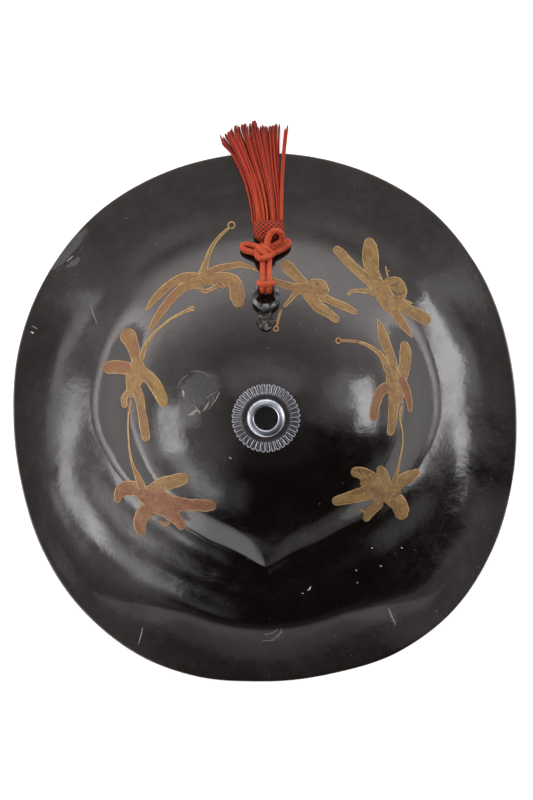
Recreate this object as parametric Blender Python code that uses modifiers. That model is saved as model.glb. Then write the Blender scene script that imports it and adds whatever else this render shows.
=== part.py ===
"""A riding jingasa: a black lacquered war hat with a petalled crown plate and a red tassel.

The hat rests on its rim. +X is the wearer's left, +Y the back of the hat and +Z up.
Lengths in the tables are in millimetres and angles in degrees, and MM turns them into metres.
"""

import math
from collections import namedtuple

import bpy
from mathutils import Matrix, Vector

MM = 0.001

# The shell

WALL = 2.5
CROWN_TOP = 92.0
CROWN_RADIUS = 160.0
CROWN_HOLE = 10.2
LIP = 3.0
COLUMNS = 72
# How many rings of faces the crown has, its wall, its heel, and the brim to the bend, flare and rim.
RINGS = (3, 4, 2, 2, 3, 3)

# An azimuth is measured from the front of the hat, to either side.
# The foot is the line where the crown's steep wall meets the brim, sharp like a prow at the front.
# In front its wall goes straight down to a short heel, which is what the crease column says.
Foot = namedtuple("Foot", "azimuth radius height slope wall crease")
FOOT = [
    Foot(0, 113.5, 48.0, 15, 16, 1.0),
    Foot(10, 105.0, 52.5, 15, 18, 1.0),
    Foot(20, 102.0, 54.2, 15, 20, 1.0),
    Foot(36, 102.5, 53.2, 16, 20, 1.0),
    Foot(60, 114.0, 40.6, 21, 24, 0.6),
    Foot(75, 122.0, 32.0, 28, 30, 0.0),
    Foot(90, 131.0, 23.0, 29, 34, 0.0),
    Foot(110, 133.5, 22.0, 29, 34, 0.0),
    Foot(135, 136.0, 28.0, 31, 34, 0.0),
    Foot(180, 136.0, 27.6, 29, 34, 0.0),
]
# The heel's length outward, its drop, and how steep the wall is that goes down to it.
HEEL, HEEL_DROP, STEEP = 4.0, 2.1, 39.5
# The bend is the line on the brim where it is steepest, or starts to flare out.
Bend = namedtuple("Bend", "azimuth radius height slope")
BEND = [
    Bend(0, 146.0, 32.0, 21),
    Bend(20, 138.0, 35.0, 25),
    Bend(40, 137.0, 33.2, 28),
    Bend(60, 143.0, 23.4, 30),
    Bend(75, 145.0, 18.2, 31),
    Bend(90, 143.0, 16.4, 26),
    Bend(110, 145.0, 16.0, 27),
    Bend(135, 148.0, 21.8, 26),
    Bend(180, 146.0, 22.5, 25),
]
# The flare is where the brim has turned to its outer slope. In front it is a shallow fold, past
# which the brim lies nearly level.
Flare = namedtuple("Flare", "azimuth radius height slope")
FLARE = [
    Flare(0, 159.0, 28.8, -11),
    Flare(20, 158.5, 28.6, -12),
    Flare(30, 165.5, 26.7, -10),
    Flare(45, 183.0, 18.0, -2),
    Flare(60, 178.0, 10.3, 9),
    Flare(75, 178.0, 5.3, 11),
    Flare(90, 168.0, 7.0, 13),
    Flare(110, 168.0, 7.3, 11),
    Flare(135, 162.0, 15.7, 21),
    Flare(180, 165.0, 14.6, 20),
]
# The rim's height is that of its lower edge, and lean is how much further out it is on the hat's
# right half than the mean of both halves.
Rim = namedtuple("Rim", "azimuth radius height slope lean")
RIM = [
    Rim(0, 196.4, 29.2, 3, 0.0),
    Rim(15, 198.2, 28.6, 3, 1.3),
    Rim(30, 200.8, 24.8, 1, 0.0),
    Rim(45, 200.1, 14.5, -1, -1.1),
    Rim(60, 196.1, 5.0, 6, -0.9),
    Rim(75, 191.5, 0.0, 8, -0.4),
    Rim(90, 189.6, 0.0, 8, 0.8),
    Rim(105, 191.6, 0.0, 8, 1.8),
    Rim(125, 196.4, 0.0, 14, 0.9),
    Rim(145, 200.0, 0.0, 17, 0.1),
    Rim(180, 199.4, 0.0, 17, 0.0),
]

# The crown's ornament

PETALS = 40
PLATE_TIP, PLATE_NOTCH = 25.1, 24.2
PLATE_THICK, PLATE_RISE = 1.5, 2.6
EYELET_OUTER, EYELET_HOLE, EYELET_NECK = 14.0, 8.3, 9.6
EYELET_EDGE, EYELET_RISE = 0.7, 3.2
EYELET_ROLL, ROLL_THICK = 12.0, 1.2
GAP = 0.3

# The fittings at the back

LEAF_AT = 72.4
LEAF_LENGTH, LEAF_WIDTH, LEAF_THICK = 20.0, 12.8, 1.2
LEAF_STEPS = 18
# How pointed the leaf's inner end is, how full its sides are, and how deep they are waisted.
LEAF_POINT, LEAF_FULL, LEAF_WAIST = 0.72, 0.8, 0.12
STAPLE_AT = 7.3
STAPLE_STEPS = 12
STAPLE_INNER, STAPLE_OUTER, STAPLE_WIDTH = 2.4, 3.5, 5.0
RING_RADIUS, RING_WIRE = 8.85, 1.65
RING_TILT = 22.0

# The cord and the tassel

CORD = 4.3
STRAND_ACROSS = 2.35
HITCH_INNER, HITCH_OUTER, HITCH_TURN = 1.95, 5.6, 40.0
# Where a strand's middle runs, from the hitch to the knot: distance back, height over the lacquer.
Route = namedtuple("Route", "back over")
ROUTE = [Route(102.6, 6.6), Route(105.5, 5.0), Route(109.5, 4.2), Route(114.2, 4.0)]
# A soft solid is a row of ellipses laid over the hat: a place along its length, the middle
# and half width across it, its height, and how far its sides lean along the length.
Slice = namedtuple("Slice", "along middle half height lean")
KNOT = [
    Slice(-19.5, 126.3, 2.4, 3.0, 0.0),
    Slice(-16.5, 125.8, 4.4, 5.0, 0.0),
    Slice(-10.0, 123.6, 4.6, 6.0, 0.0),
    Slice(-4.0, 121.6, 5.9, 8.5, 0.0),
    Slice(3.0, 121.8, 6.2, 9.5, 0.0),
    Slice(10.0, 123.6, 4.9, 7.0, 0.0),
    Slice(16.5, 125.4, 4.4, 5.5, 0.0),
    Slice(20.0, 125.8, 2.6, 3.0, 0.0),
]
HEAD = [
    Slice(130.4, 1.6, 7.0, 8.0, 0.0),
    Slice(133.5, 1.9, 10.2, 13.0, 0.0),
    Slice(139.0, 2.1, 11.8, 16.0, 0.0),
    Slice(144.0, 1.9, 11.4, 15.0, 0.0),
    Slice(147.0, 1.7, 10.6, 13.0, 0.0),
]
SKIRT = [
    Slice(147.7, 1.7, 10.6, 13.0, 0.0),
    Slice(154.0, 1.2, 11.4, 12.6, 0.0),
    Slice(163.0, -0.2, 13.2, 11.6, 0.02),
    Slice(175.0, -2.6, 16.2, 10.2, 0.05),
    Slice(188.0, -5.0, 19.6, 8.8, 0.08),
    Slice(201.0, -7.2, 23.0, 7.4, 0.11),
    Slice(213.0, -8.8, 25.6, 6.2, 0.14),
    Slice(221.5, -9.4, 26.6, 5.0, 0.16),
]
SLICE_POINTS = 20
CLEAR = 0.7
TIP_DROP = 16.0


def reading(table, azimuth, column, creased=False):
    """One column of a table as a smooth curve over the azimuth, level at both ends and where it turns.
    With creased it arrives at the front with its own slope, which leaves a crease there."""
    turns = [row.azimuth for row in table]
    values = [getattr(row, column) for row in table]
    last = len(table) - 1
    azimuth = min(max(azimuth, turns[0]), turns[last])
    k = min(max(i for i in range(last + 1) if turns[i] <= azimuth), last - 1)

    def slope(i):
        if i == 0 and creased:
            return (values[1] - values[0]) / (turns[1] - turns[0])
        if i in (0, last) or (values[i + 1] - values[i]) * (values[i] - values[i - 1]) <= 0:
            return 0.0
        return (values[i + 1] - values[i - 1]) / (turns[i + 1] - turns[i - 1])

    return hermite(turns[k], values[k], slope(k), turns[k + 1], values[k + 1], slope(k + 1), azimuth)


def hermite(x0, y0, slope0, x1, y1, slope1, x):
    """The cubic from (x0, y0) to (x1, y1) with the two slopes, at x."""
    span = x1 - x0
    t = (x - x0) / span
    lift = (1 + 2 * t) * (1 - t) ** 2 * y0 + t * t * (3 - 2 * t) * y1
    return lift + span * t * (1 - t) * ((1 - t) * slope0 - t * slope1)


def fall(degrees):
    """The height lost per millimetre outward on a slope of so many degrees."""
    return -math.tan(math.radians(degrees))


def crown(radius):
    """The height of the round crown and its slope at a radius."""
    drop = math.sqrt(CROWN_RADIUS**2 - radius**2)
    return CROWN_TOP - CROWN_RADIUS + drop, -radius / drop


def heel(shoulder, foot, crease):
    """(radius, height, slope) a little inside the foot, on one long curve or at a straight wall's end."""
    radius = foot[0] - HEEL
    before, soft, after = (hermite(*shoulder, *foot, radius + step) for step in (-0.5, 0, 0.5))
    height = soft + crease * (foot[1] + HEEL_DROP - soft)
    slope = after - before
    return radius, height, slope + crease * (fall(STEEP) - slope)


def stations(azimuth, side):
    """(radius, height, slope) where the crown ends, at the heel, foot, bend, flare and rim."""
    foot = [reading(FOOT, azimuth, c, creased=True) for c in ("radius", "height", "slope", "wall", "crease")]
    bend = [reading(BEND, azimuth, c) for c in ("radius", "height", "slope")]
    flare = [reading(FLARE, azimuth, c) for c in ("radius", "height", "slope")]
    rim = [reading(RIM, azimuth, c) for c in ("radius", "height", "slope", "lean")]
    shoulder = (foot[0] - foot[3], *crown(foot[0] - foot[3]))
    base = (foot[0], foot[1], fall(foot[2]))
    return [
        shoulder,
        heel(shoulder, base, foot[4]),
        base,
        (bend[0], bend[1], fall(bend[2])),
        (flare[0], flare[1], fall(flare[2])),
        (rim[0] + side * rim[3], rim[1] + LIP, fall(rim[2])),
    ]


def profile(marks, radius):
    """The height of the outer face at a radius, past the rim as well."""
    if radius <= marks[0][0]:
        return crown(radius)[0]
    for (x0, y0, s0), (x1, y1, s1) in zip(marks, marks[1:]):
        if radius <= x1:
            return hermite(x0, y0, s0, x1, y1, s1, radius)
    past = min((radius - marks[-1][0]) / TIP_DROP, 1.0)
    return marks[-1][1] * (1 - past)


def ground(x, y):
    """The height of the lacquer under a point in plan, and of the floor outside the rim."""
    azimuth = math.degrees(math.atan2(abs(x), -y))
    return profile(stations(azimuth, math.copysign(1, -x)), math.hypot(x, y))


def material(name, colour, metallic, roughness):
    found = bpy.data.materials.new(name)
    found.use_nodes = True
    shader = found.node_tree.nodes["Principled BSDF"]
    shader.inputs["Base Color"].default_value = (*colour, 1.0)
    shader.inputs["Metallic"].default_value = metallic
    shader.inputs["Roughness"].default_value = roughness
    found.diffuse_color = (*colour, 1.0)
    return found


def add(collection, name, data, finish, location=(0, 0, 0), turn=None):
    """An object with its data in metres, placed in millimetres."""
    made = bpy.data.objects.new(name, data)
    collection.objects.link(made)
    if turn is not None:
        made.rotation_euler = turn.to_euler()
    made.location = Vector(location) * MM
    data.materials.append(finish)
    return made


def mesh_of(name, points, faces, sharp=35):
    """A smooth-shaded mesh from points in millimetres."""
    mesh = bpy.data.meshes.new(name)
    mesh.from_pydata([Vector(p) * MM for p in points], [], faces)
    mesh.shade_smooth()
    mesh.set_sharp_from_angle(angle=math.radians(sharp))
    return mesh


def rings(count, around):
    """The faces between rings of points, one ring after another."""
    faces = []
    for i in range(count - 1):
        for k in range(around):
            j = (k + 1) % around
            faces.append((i * around + k, i * around + j, (i + 1) * around + j, (i + 1) * around + k))
    return faces


def make_shell(collection):
    """The outer face as rings from the crown's hole to the lip, thickened inward."""
    steps = []
    for part, count in enumerate(RINGS):
        steps += [(part, i / count) for i in range(count)]
    steps.append((len(RINGS) - 1, 1.0))
    points = []
    for column in range(COLUMNS):
        turn = 2 * math.pi * column / COLUMNS
        azimuth = math.degrees(turn if turn <= math.pi else 2 * math.pi - turn)
        marks = stations(azimuth, -1 if turn <= math.pi else 1)
        edges = [CROWN_HOLE] + [mark[0] for mark in marks]
        line = []
        for part, share in steps:
            radius = edges[part] + share * (edges[part + 1] - edges[part])
            line.append((radius, profile(marks, radius)))
        line.append((line[-1][0], line[-1][1] - LIP))
        points.append([(r * math.sin(turn), -r * math.cos(turn), z) for r, z in line])
    count = len(steps) + 1
    flat = [points[column][i] for i in range(count) for column in range(COLUMNS)]
    mesh = mesh_of("shell", flat, [face[::-1] for face in rings(count, COLUMNS)])
    shell = add(collection, "shell", mesh, material("black_lacquer", (0.012, 0.009, 0.010), 0.0, 0.22))
    solid = shell.modifiers.new("wall", "SOLIDIFY")
    solid.thickness = WALL * MM
    solid.offset = -1.0
    solid.use_even_offset = True


def make_crown_plate(collection):
    """A domed washer that follows the crown, with a row of round petal ends at its edge."""
    around = PETALS * 2
    inner = EYELET_NECK + GAP
    points = []
    tops = [inner, EYELET_OUTER + 1.0, (EYELET_OUTER + PLATE_NOTCH) / 2, PLATE_NOTCH - 1.0]
    levels = [(radius, PLATE_RISE) for radius in tops] + [(None, PLATE_RISE), (None, 0), (inner, 0)]
    for radius, rise in levels:
        for k in range(around):
            turn = 2 * math.pi * k / around
            r = radius if radius else (PLATE_NOTCH, PLATE_TIP)[k % 2]
            z = crown(r)[0] + GAP
            if rise:
                share = min((PLATE_TIP - r) / (PLATE_TIP - EYELET_OUTER), 1.0)
                z += PLATE_THICK + (rise - PLATE_THICK) * math.sqrt(share)
            points.append((r * math.sin(turn), -r * math.cos(turn), z))
    faces = rings(len(levels), around)
    last = (len(levels) - 1) * around
    faces += [(last + k, last + (k + 1) % around, (k + 1) % around, k) for k in range(around)]
    mesh = mesh_of("crown_plate", points, [face[::-1] for face in faces])
    add(collection, "crown_plate", mesh, material("petal_steel", (0.20, 0.21, 0.23), 1.0, 0.38))


def turned(collection, name, line, finish, steps=36):
    """A closed profile of (radius, height) in millimetres, turned about Z."""
    mesh = bpy.data.meshes.new(name)
    points = [(r * MM, 0, z * MM) for r, z in line]
    mesh.from_pydata(points, [(i, (i + 1) % len(points)) for i in range(len(points))], [])
    made = add(collection, name, mesh, finish)
    screw = made.modifiers.new("turn", "SCREW")
    screw.axis = "Z"
    screw.steps = screw.render_steps = steps
    screw.use_merge_vertices = True
    screw.merge_threshold = 0.00001
    screw.use_smooth_shade = True
    return made


def make_crown_eyelet(collection):
    """A domed ring on the plate, with a neck through the shell and a roll below that holds it."""
    seat = crown(EYELET_OUTER)[0] + GAP + PLATE_RISE + GAP
    under = crown(EYELET_ROLL)[0] - WALL - 3 * GAP
    middle = (EYELET_OUTER + EYELET_HOLE) / 2
    half = (EYELET_OUTER - EYELET_HOLE) / 2
    turns = [math.pi * k / 6 for k in range(7)]
    line = [(EYELET_HOLE, under - ROLL_THICK)]
    line += [(middle - half * math.cos(a), seat + EYELET_EDGE + EYELET_RISE * math.sin(a)) for a in turns]
    line += [
        (EYELET_OUTER, seat),
        (EYELET_NECK, seat + GAP),
        (EYELET_NECK, under),
        (EYELET_ROLL, under),
        (EYELET_ROLL, under - ROLL_THICK),
    ]
    turned(collection, "crown_eyelet", line, material("eyelet_steel", (0.32, 0.35, 0.40), 1.0, 0.14))


def slope_frame():
    """The leaf plate's seat: a point on the crown, and the frame of the slope there."""
    height, slope = crown(LEAF_AT)
    down = math.atan(-slope)
    return Vector((0, LEAF_AT, height)), Matrix.Rotation(-down, 3, "X")


def flat_curve(name, outline, thick):
    """A closed outline in millimetres, filled and extruded to a thickness."""
    curve = bpy.data.curves.new(name, "CURVE")
    curve.dimensions = "2D"
    curve.fill_mode = "BOTH"
    curve.extrude = thick * MM / 2
    spline = curve.splines.new("POLY")
    spline.points.add(len(outline) - 1)
    for point, (x, y) in zip(spline.points, outline):
        point.co = (x * MM, y * MM, 0, 1)
    spline.use_cyclic_u = True
    return curve


def make_base_plate(collection):
    """A leaf of sheet iron: a point towards the crown, waisted sides and a round outer end."""
    seat, slope = slope_frame()
    outline = []
    for k in range(2 * LEAF_STEPS):
        share = k / LEAF_STEPS if k <= LEAF_STEPS else 2 - k / LEAF_STEPS
        side = 1 if k <= LEAF_STEPS else -1
        full = math.sin(math.pi * share**LEAF_POINT) ** LEAF_FULL
        half = full * (1 + LEAF_WAIST * math.cos(5 * math.pi * share)) * LEAF_WIDTH / 2
        outline.append((side * half, (share - 0.5) * LEAF_LENGTH))
    curve = flat_curve("base_plate", outline, LEAF_THICK)
    lift = slope @ Vector((0, 0, GAP + LEAF_THICK / 2))
    iron = material("leaf_iron", (0.075, 0.072, 0.075), 0.85, 0.5)
    add(collection, "base_plate", curve, iron, seat + lift, slope)


def make_ring_staple(collection):
    """A strap bent over the ring's wire, standing on the leaf plate."""
    seat, slope = slope_frame()
    foot = GAP + LEAF_THICK + GAP
    axis = GAP + LEAF_THICK + GAP + RING_WIRE
    arc = [math.pi * k / STAPLE_STEPS for k in range(STAPLE_STEPS + 1)]
    outline = [(STAPLE_OUTER * math.cos(a), axis + STAPLE_OUTER * math.sin(a)) for a in arc]
    outline = [(STAPLE_OUTER, foot)] + outline + [(-STAPLE_OUTER, foot), (-STAPLE_INNER, foot)]
    outline += [(STAPLE_INNER * math.cos(a), axis + STAPLE_INNER * math.sin(a)) for a in arc[::-1]]
    outline += [(STAPLE_INNER, foot)]
    curve = flat_curve("ring_staple", outline, STAPLE_WIDTH)
    place = seat + slope @ Vector((0, STAPLE_AT, 0))
    upright = Matrix(((0, 0, 1), (1, 0, 0), (0, 1, 0)))
    iron = material("staple_iron", (0.09, 0.085, 0.085), 0.9, 0.45)
    add(collection, "ring_staple", curve, iron, place, slope @ upright)


def ring_frame():
    """The ring's middle, and its frame: X across, Y outward over the cord and Z out of its plane."""
    seat, slope = slope_frame()
    near = seat + slope @ Vector((0, STAPLE_AT, GAP + LEAF_THICK + GAP + RING_WIRE))
    tilt = Matrix.Rotation(-math.radians(RING_TILT), 3, "X")
    return near + tilt @ Vector((0, RING_RADIUS, 0)), tilt


def make_ring(collection):
    middle, tilt = ring_frame()
    bpy.ops.mesh.primitive_torus_add(
        major_segments=32,
        minor_segments=10,
        major_radius=RING_RADIUS * MM,
        minor_radius=RING_WIRE * MM,
    )
    torus = bpy.context.object
    mesh = torus.data
    bpy.data.objects.remove(torus)
    mesh.name = "ring"
    mesh.shade_smooth()
    add(collection, "ring", mesh, material("ring_iron", (0.11, 0.11, 0.115), 0.9, 0.42), middle, tilt)


def make_hitch(collection, silk):
    """The cord's turns round the ring as one thick sleeve on the ring's wire."""
    middle, tilt = ring_frame()
    around, along = 12, 7
    points = []
    for radius in (HITCH_OUTER, HITCH_INNER):
        for i in range(along):
            turn = math.radians(HITCH_TURN * (2 * i / (along - 1) - 1))
            out = Vector((math.sin(turn), math.cos(turn), 0))
            for k in range(around):
                a = 2 * math.pi * k / around
                offset = out * (radius * math.cos(a)) + Vector((0, 0, radius * math.sin(a)))
                points.append(middle + tilt @ (out * RING_RADIUS + offset))
    size = along * around
    faces = rings(along, around)
    faces += [tuple(size + i for i in face[::-1]) for face in faces]
    for end in (0, size - around):
        for k in range(around):
            j = (k + 1) % around
            face = (end + k, end + size + k, end + size + j, end + j)
            faces.append(face if end == 0 else face[::-1])
    add(collection, "hitch", mesh_of("hitch", points, faces), silk)


def smooth_route(marks, steps):
    """Points read from a smooth curve through the marks, evenly in each stretch."""
    points = []
    ends = [marks[0] * 2 - marks[1]] + marks + [marks[-1] * 2 - marks[-2]]
    for k in range(len(marks) - 1):
        a, b, c, d = ends[k : k + 4]
        for i in range(steps):
            t = i / steps
            blend = (c - a) * t + (2 * a - 5 * b + 4 * c - d) * t**2 + (3 * b - a - 3 * c + d) * t**3
            points.append(b + blend / 2)
    return points + [marks[-1]]


def make_cord(collection, name, side, silk):
    """One strand, from the hitch down the crown's wall to the knot."""
    x = side * STRAND_ACROSS
    marks = [Vector((x, mark.back, ground(x, mark.back) + mark.over)) for mark in ROUTE]
    curve = bpy.data.curves.new(name, "CURVE")
    curve.dimensions = "3D"
    curve.bevel_depth = CORD * MM / 2
    curve.bevel_resolution = 3
    curve.use_fill_caps = True
    spline = curve.splines.new("POLY")
    points = smooth_route(marks, 2)
    spline.points.add(len(points) - 1)
    for point, place in zip(spline.points, points):
        point.co = (*(place * MM), 1)
    spline.use_smooth = True
    add(collection, name, curve, silk)


def make_draped(collection, name, slices, silk, crosswise=False):
    """A soft solid lofted through its slices, which lie over the lacquer and the floor."""
    points = []
    for cut in slices:
        for k in range(SLICE_POINTS):
            a = 2 * math.pi * k / SLICE_POINTS
            across = cut.middle + cut.half * math.cos(a)
            along = cut.along + cut.lean * (across - cut.middle)
            x, y = (along, across) if crosswise else (across, along)
            z = ground(x, y) + CLEAR + cut.height * (1 + math.sin(a)) / 2
            points.append((x, y, z))
    faces = rings(len(slices), SLICE_POINTS)
    last = (len(slices) - 1) * SLICE_POINTS
    faces.append(tuple(range(SLICE_POINTS))[::-1])
    faces.append(tuple(last + k for k in range(SLICE_POINTS)))
    if not crosswise:
        faces = [face[::-1] for face in faces]
    add(collection, name, mesh_of(name, points, faces, 50), silk)


def main():
    for old in list(bpy.data.objects):
        bpy.data.objects.remove(old)
    collection = bpy.data.collections.new("jingasa")
    bpy.context.scene.collection.children.link(collection)
    silk = material("red_silk_cord", (0.48, 0.065, 0.025), 0.0, 0.6)
    fringe = material("red_silk_skirt", (0.42, 0.04, 0.02), 0.0, 0.55)
    make_shell(collection)
    make_crown_plate(collection)
    make_crown_eyelet(collection)
    make_base_plate(collection)
    make_ring_staple(collection)
    make_ring(collection)
    make_hitch(collection, silk)
    make_cord(collection, "cord_left", -1, silk)
    make_cord(collection, "cord_right", 1, silk)
    make_draped(collection, "knot", KNOT, silk, crosswise=True)
    make_draped(collection, "tassel_head", HEAD, silk)
    make_draped(collection, "tassel_skirt", SKIRT, fringe)


main()
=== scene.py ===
"""The looks of the riding jingasa: worn black lacquer with gold blossoms, steel crown ornament,
iron ring and red silk tassel.

Lengths are in millimetres and angles in degrees unless a name says otherwise, and MM turns
lengths into metres. An azimuth is measured from the front of the hat (-Y), and +X is the
wearer's left. Pixels are those of the photograph, 533 by 800, looking straight down.
"""

import math
import random
from collections import namedtuple

import bmesh
import bpy
import numpy as np
from mathutils import Matrix, Vector, noise


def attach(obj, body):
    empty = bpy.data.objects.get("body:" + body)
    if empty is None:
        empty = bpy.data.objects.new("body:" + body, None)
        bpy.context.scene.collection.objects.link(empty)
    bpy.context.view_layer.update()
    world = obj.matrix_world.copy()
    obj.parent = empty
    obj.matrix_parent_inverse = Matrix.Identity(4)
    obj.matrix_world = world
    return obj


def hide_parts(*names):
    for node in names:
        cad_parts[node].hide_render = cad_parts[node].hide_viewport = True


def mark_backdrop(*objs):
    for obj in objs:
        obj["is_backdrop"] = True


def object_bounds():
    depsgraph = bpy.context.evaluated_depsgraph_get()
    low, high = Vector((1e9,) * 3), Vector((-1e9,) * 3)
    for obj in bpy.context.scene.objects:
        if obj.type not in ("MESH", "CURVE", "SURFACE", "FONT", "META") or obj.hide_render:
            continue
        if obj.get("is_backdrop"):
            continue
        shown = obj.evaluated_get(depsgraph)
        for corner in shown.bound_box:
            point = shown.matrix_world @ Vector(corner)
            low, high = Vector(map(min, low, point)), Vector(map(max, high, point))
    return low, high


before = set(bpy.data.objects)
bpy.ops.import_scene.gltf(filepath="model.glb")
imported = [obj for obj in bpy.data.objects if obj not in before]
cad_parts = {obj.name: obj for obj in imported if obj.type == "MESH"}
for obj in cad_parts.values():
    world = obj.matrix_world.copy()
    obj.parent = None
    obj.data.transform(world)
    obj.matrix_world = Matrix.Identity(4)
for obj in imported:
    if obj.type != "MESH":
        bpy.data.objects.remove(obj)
cad_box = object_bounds()

MM = 0.001

# The photograph's view

CAMERA_HEIGHT = 2400.0
PIXEL = 0.754
HAT_COLUMN, HAT_ROW = 266.0, 417.5
VIEW_COLUMN, VIEW_ROW = 266.5, 400.0
VIEW_ROWS = 800
SENSOR = 36.0

# The shell, as the part's source has it

WALL = 2.5
CROWN_TOP = 92.0
CROWN_RADIUS = 160.0
CROWN_HOLE = 10.2
LIP = 3.0
# In front its wall goes straight down to a short heel, which is what the crease column says.
Foot = namedtuple("Foot", "azimuth radius height slope wall crease")
FOOT = [
    Foot(0, 113.5, 48.0, 15, 16, 1.0),
    Foot(10, 105.0, 52.5, 15, 18, 1.0),
    Foot(20, 102.0, 54.2, 15, 20, 1.0),
    Foot(36, 102.5, 53.2, 16, 20, 1.0),
    Foot(60, 114.0, 40.6, 21, 24, 0.6),
    Foot(75, 122.0, 32.0, 28, 30, 0.0),
    Foot(90, 131.0, 23.0, 29, 34, 0.0),
    Foot(110, 133.5, 22.0, 29, 34, 0.0),
    Foot(135, 136.0, 28.0, 31, 34, 0.0),
    Foot(180, 136.0, 27.6, 29, 34, 0.0),
]
# The heel's length outward, its drop, and how steep the wall is that goes down to it.
HEEL, HEEL_DROP, STEEP = 4.0, 2.1, 39.5
# The bend is the line on the brim where it is steepest, or starts to flare out.
Bend = namedtuple("Bend", "azimuth radius height slope")
BEND = [
    Bend(0, 146.0, 32.0, 21),
    Bend(20, 138.0, 35.0, 25),
    Bend(40, 137.0, 33.2, 28),
    Bend(60, 143.0, 23.4, 30),
    Bend(75, 145.0, 18.2, 31),
    Bend(90, 143.0, 16.4, 26),
    Bend(110, 145.0, 16.0, 27),
    Bend(135, 148.0, 21.8, 26),
    Bend(180, 146.0, 22.5, 25),
]
# The flare is where the brim has turned to its outer slope. In front it is a shallow fold, past
# which the brim lies nearly level.
Flare = namedtuple("Flare", "azimuth radius height slope")
FLARE = [
    Flare(0, 159.0, 28.8, -11),
    Flare(20, 158.5, 28.6, -12),
    Flare(30, 165.5, 26.7, -10),
    Flare(45, 183.0, 18.0, -2),
    Flare(60, 178.0, 10.3, 9),
    Flare(75, 178.0, 5.3, 11),
    Flare(90, 168.0, 7.0, 13),
    Flare(110, 168.0, 7.3, 11),
    Flare(135, 162.0, 15.7, 21),
    Flare(180, 165.0, 14.6, 20),
]
# The rim's height is that of its lower edge, and lean is how much further out it is on the hat's
# right half than the mean of both halves.
Rim = namedtuple("Rim", "azimuth radius height slope lean")
RIM = [
    Rim(0, 196.4, 29.2, 3, 0.0),
    Rim(15, 198.2, 28.6, 3, 1.3),
    Rim(30, 200.8, 24.8, 1, 0.0),
    Rim(45, 200.1, 14.5, -1, -1.1),
    Rim(60, 196.1, 5.0, 6, -0.9),
    Rim(75, 191.5, 0.0, 8, -0.4),
    Rim(90, 189.6, 0.0, 8, 0.8),
    Rim(105, 191.6, 0.0, 8, 1.8),
    Rim(125, 196.4, 0.0, 14, 0.9),
    Rim(145, 200.0, 0.0, 17, 0.1),
    Rim(180, 199.4, 0.0, 17, 0.0),
]

# How finely the shell is made

SHELL_COLUMNS = 360
OUTER_RINGS = (34, 24, 8, 12, 16, 16)
INNER_RINGS = (8, 10, 3, 4, 5, 5)
LIP_ROUND = 1.3
LIP_STEPS = 4

# The soft unevenness of the hand-made body: how high it is and how far apart its waves are

Wave = namedtuple("Wave", "height span")
WAVES = [Wave(0.30, 62.0), Wave(0.10, 24.0)]
CALM_RIM = 9.0

# The lacquer is darkest near the front of the crown and brim, and greyer further off.

DARKEST_SPOT = (8.0, -95.0, 45.0)
DARKEST_FULL, DARKEST_NONE = 62.0, 130.0

# Where the lacquer is worn, and one painted highlight at the front crease: a patch by its pixel, its size in pixels,
# its turn, and how far it greys the lacquer

Patch = namedtuple("Patch", "column row wide high turn bare")
PATCHES = [
    Patch(201, 388, 44, 34, 20, 0.50),
    Patch(70, 249, 56, 11, 50, 0.85),
    Patch(391, 616, 24, 9, -65, 0.30),
    # This patch is a painted highlight, not wear: it greys the lacquer on the front crease, where that ridge catches
    # the light.
    Patch(276, 637, 20, 12, 10, 0.25),
    Patch(62, 560, 60, 16, -58, 0.15),
]
# Strokes of wear, and two of painted highlight along the front crease: how pale, and the spots that each runs through.
Stroke = namedtuple("Stroke", "pale spots")

# The studio: what the lacquer mirrors, by direction. A height over the horizon has a brightness.

Level = namedtuple("Level", "elevation front side back")
SKY = [
    Level(-30, 0.30, 3.00, 3.00),
    Level(-4, 0.50, 5.50, 3.60),
    Level(6, 0.55, 5.00, 3.30),
    Level(12, 0.40, 3.40, 3.20),
    Level(18, 0.10, 1.90, 2.80),
    Level(24, 0.02, 1.50, 2.00),
    Level(32, 0.02, 1.30, 1.50),
    Level(42, 0.02, 1.20, 1.00),
    Level(50, 0.02, 1.10, 0.75),
    Level(57, 0.03, 0.95, 1.05),
    Level(66, 0.12, 0.62, 1.60),
    Level(80, 0.17, 0.32, 0.72),
    Level(90, 0.24, 0.24, 0.24),
]
SKY_TOP = 6.0
RIGHT_FULL, RIGHT_NONE = 76.0, 94.0
LEFT_FULL, LEFT_NONE = -22.0, -58.0
BACK_NONE, BACK_FULL = 118.0, 140.0
Softbox = namedtuple("Softbox", "azimuth half_width elevation half_height soft strength")
SOFTBOXES = [
    Softbox(98, 14, 33, 6, 3, 8.0),
    Softbox(108, 12, 44, 9, 4, 1.0),
    Softbox(-83, 14, 35, 6.5, 3.5, 6.0),
    Softbox(-52, 22, 37, 5, 4, 2.6),
    Softbox(-95, 12, 47, 6, 4, 1.8),
    Softbox(62, 12, 16, 8, 5, 0.6),
    Softbox(-64, 16, 10, 10, 5, 1.6),
    Softbox(-32, 26, 8, 11, 6, 1.9),
    Softbox(-34, 20, 43, 8, 6, 0.55),
]
SKY_TINT = (1.0, 0.93, 0.92)
BOX_TINT = (1.0, 0.99, 1.0)
FLOOR_WHITE = 0.88
# The floor's glow is painted light, faded out under the hat.
FLOOR_GLOW = 0.50
GLOW_NONE, GLOW_FULL = 0.10, 0.17
STAGE_RADIUS = 9000.0


# The crown's ornament, as the part's source has it, and the relief of its petals

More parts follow.
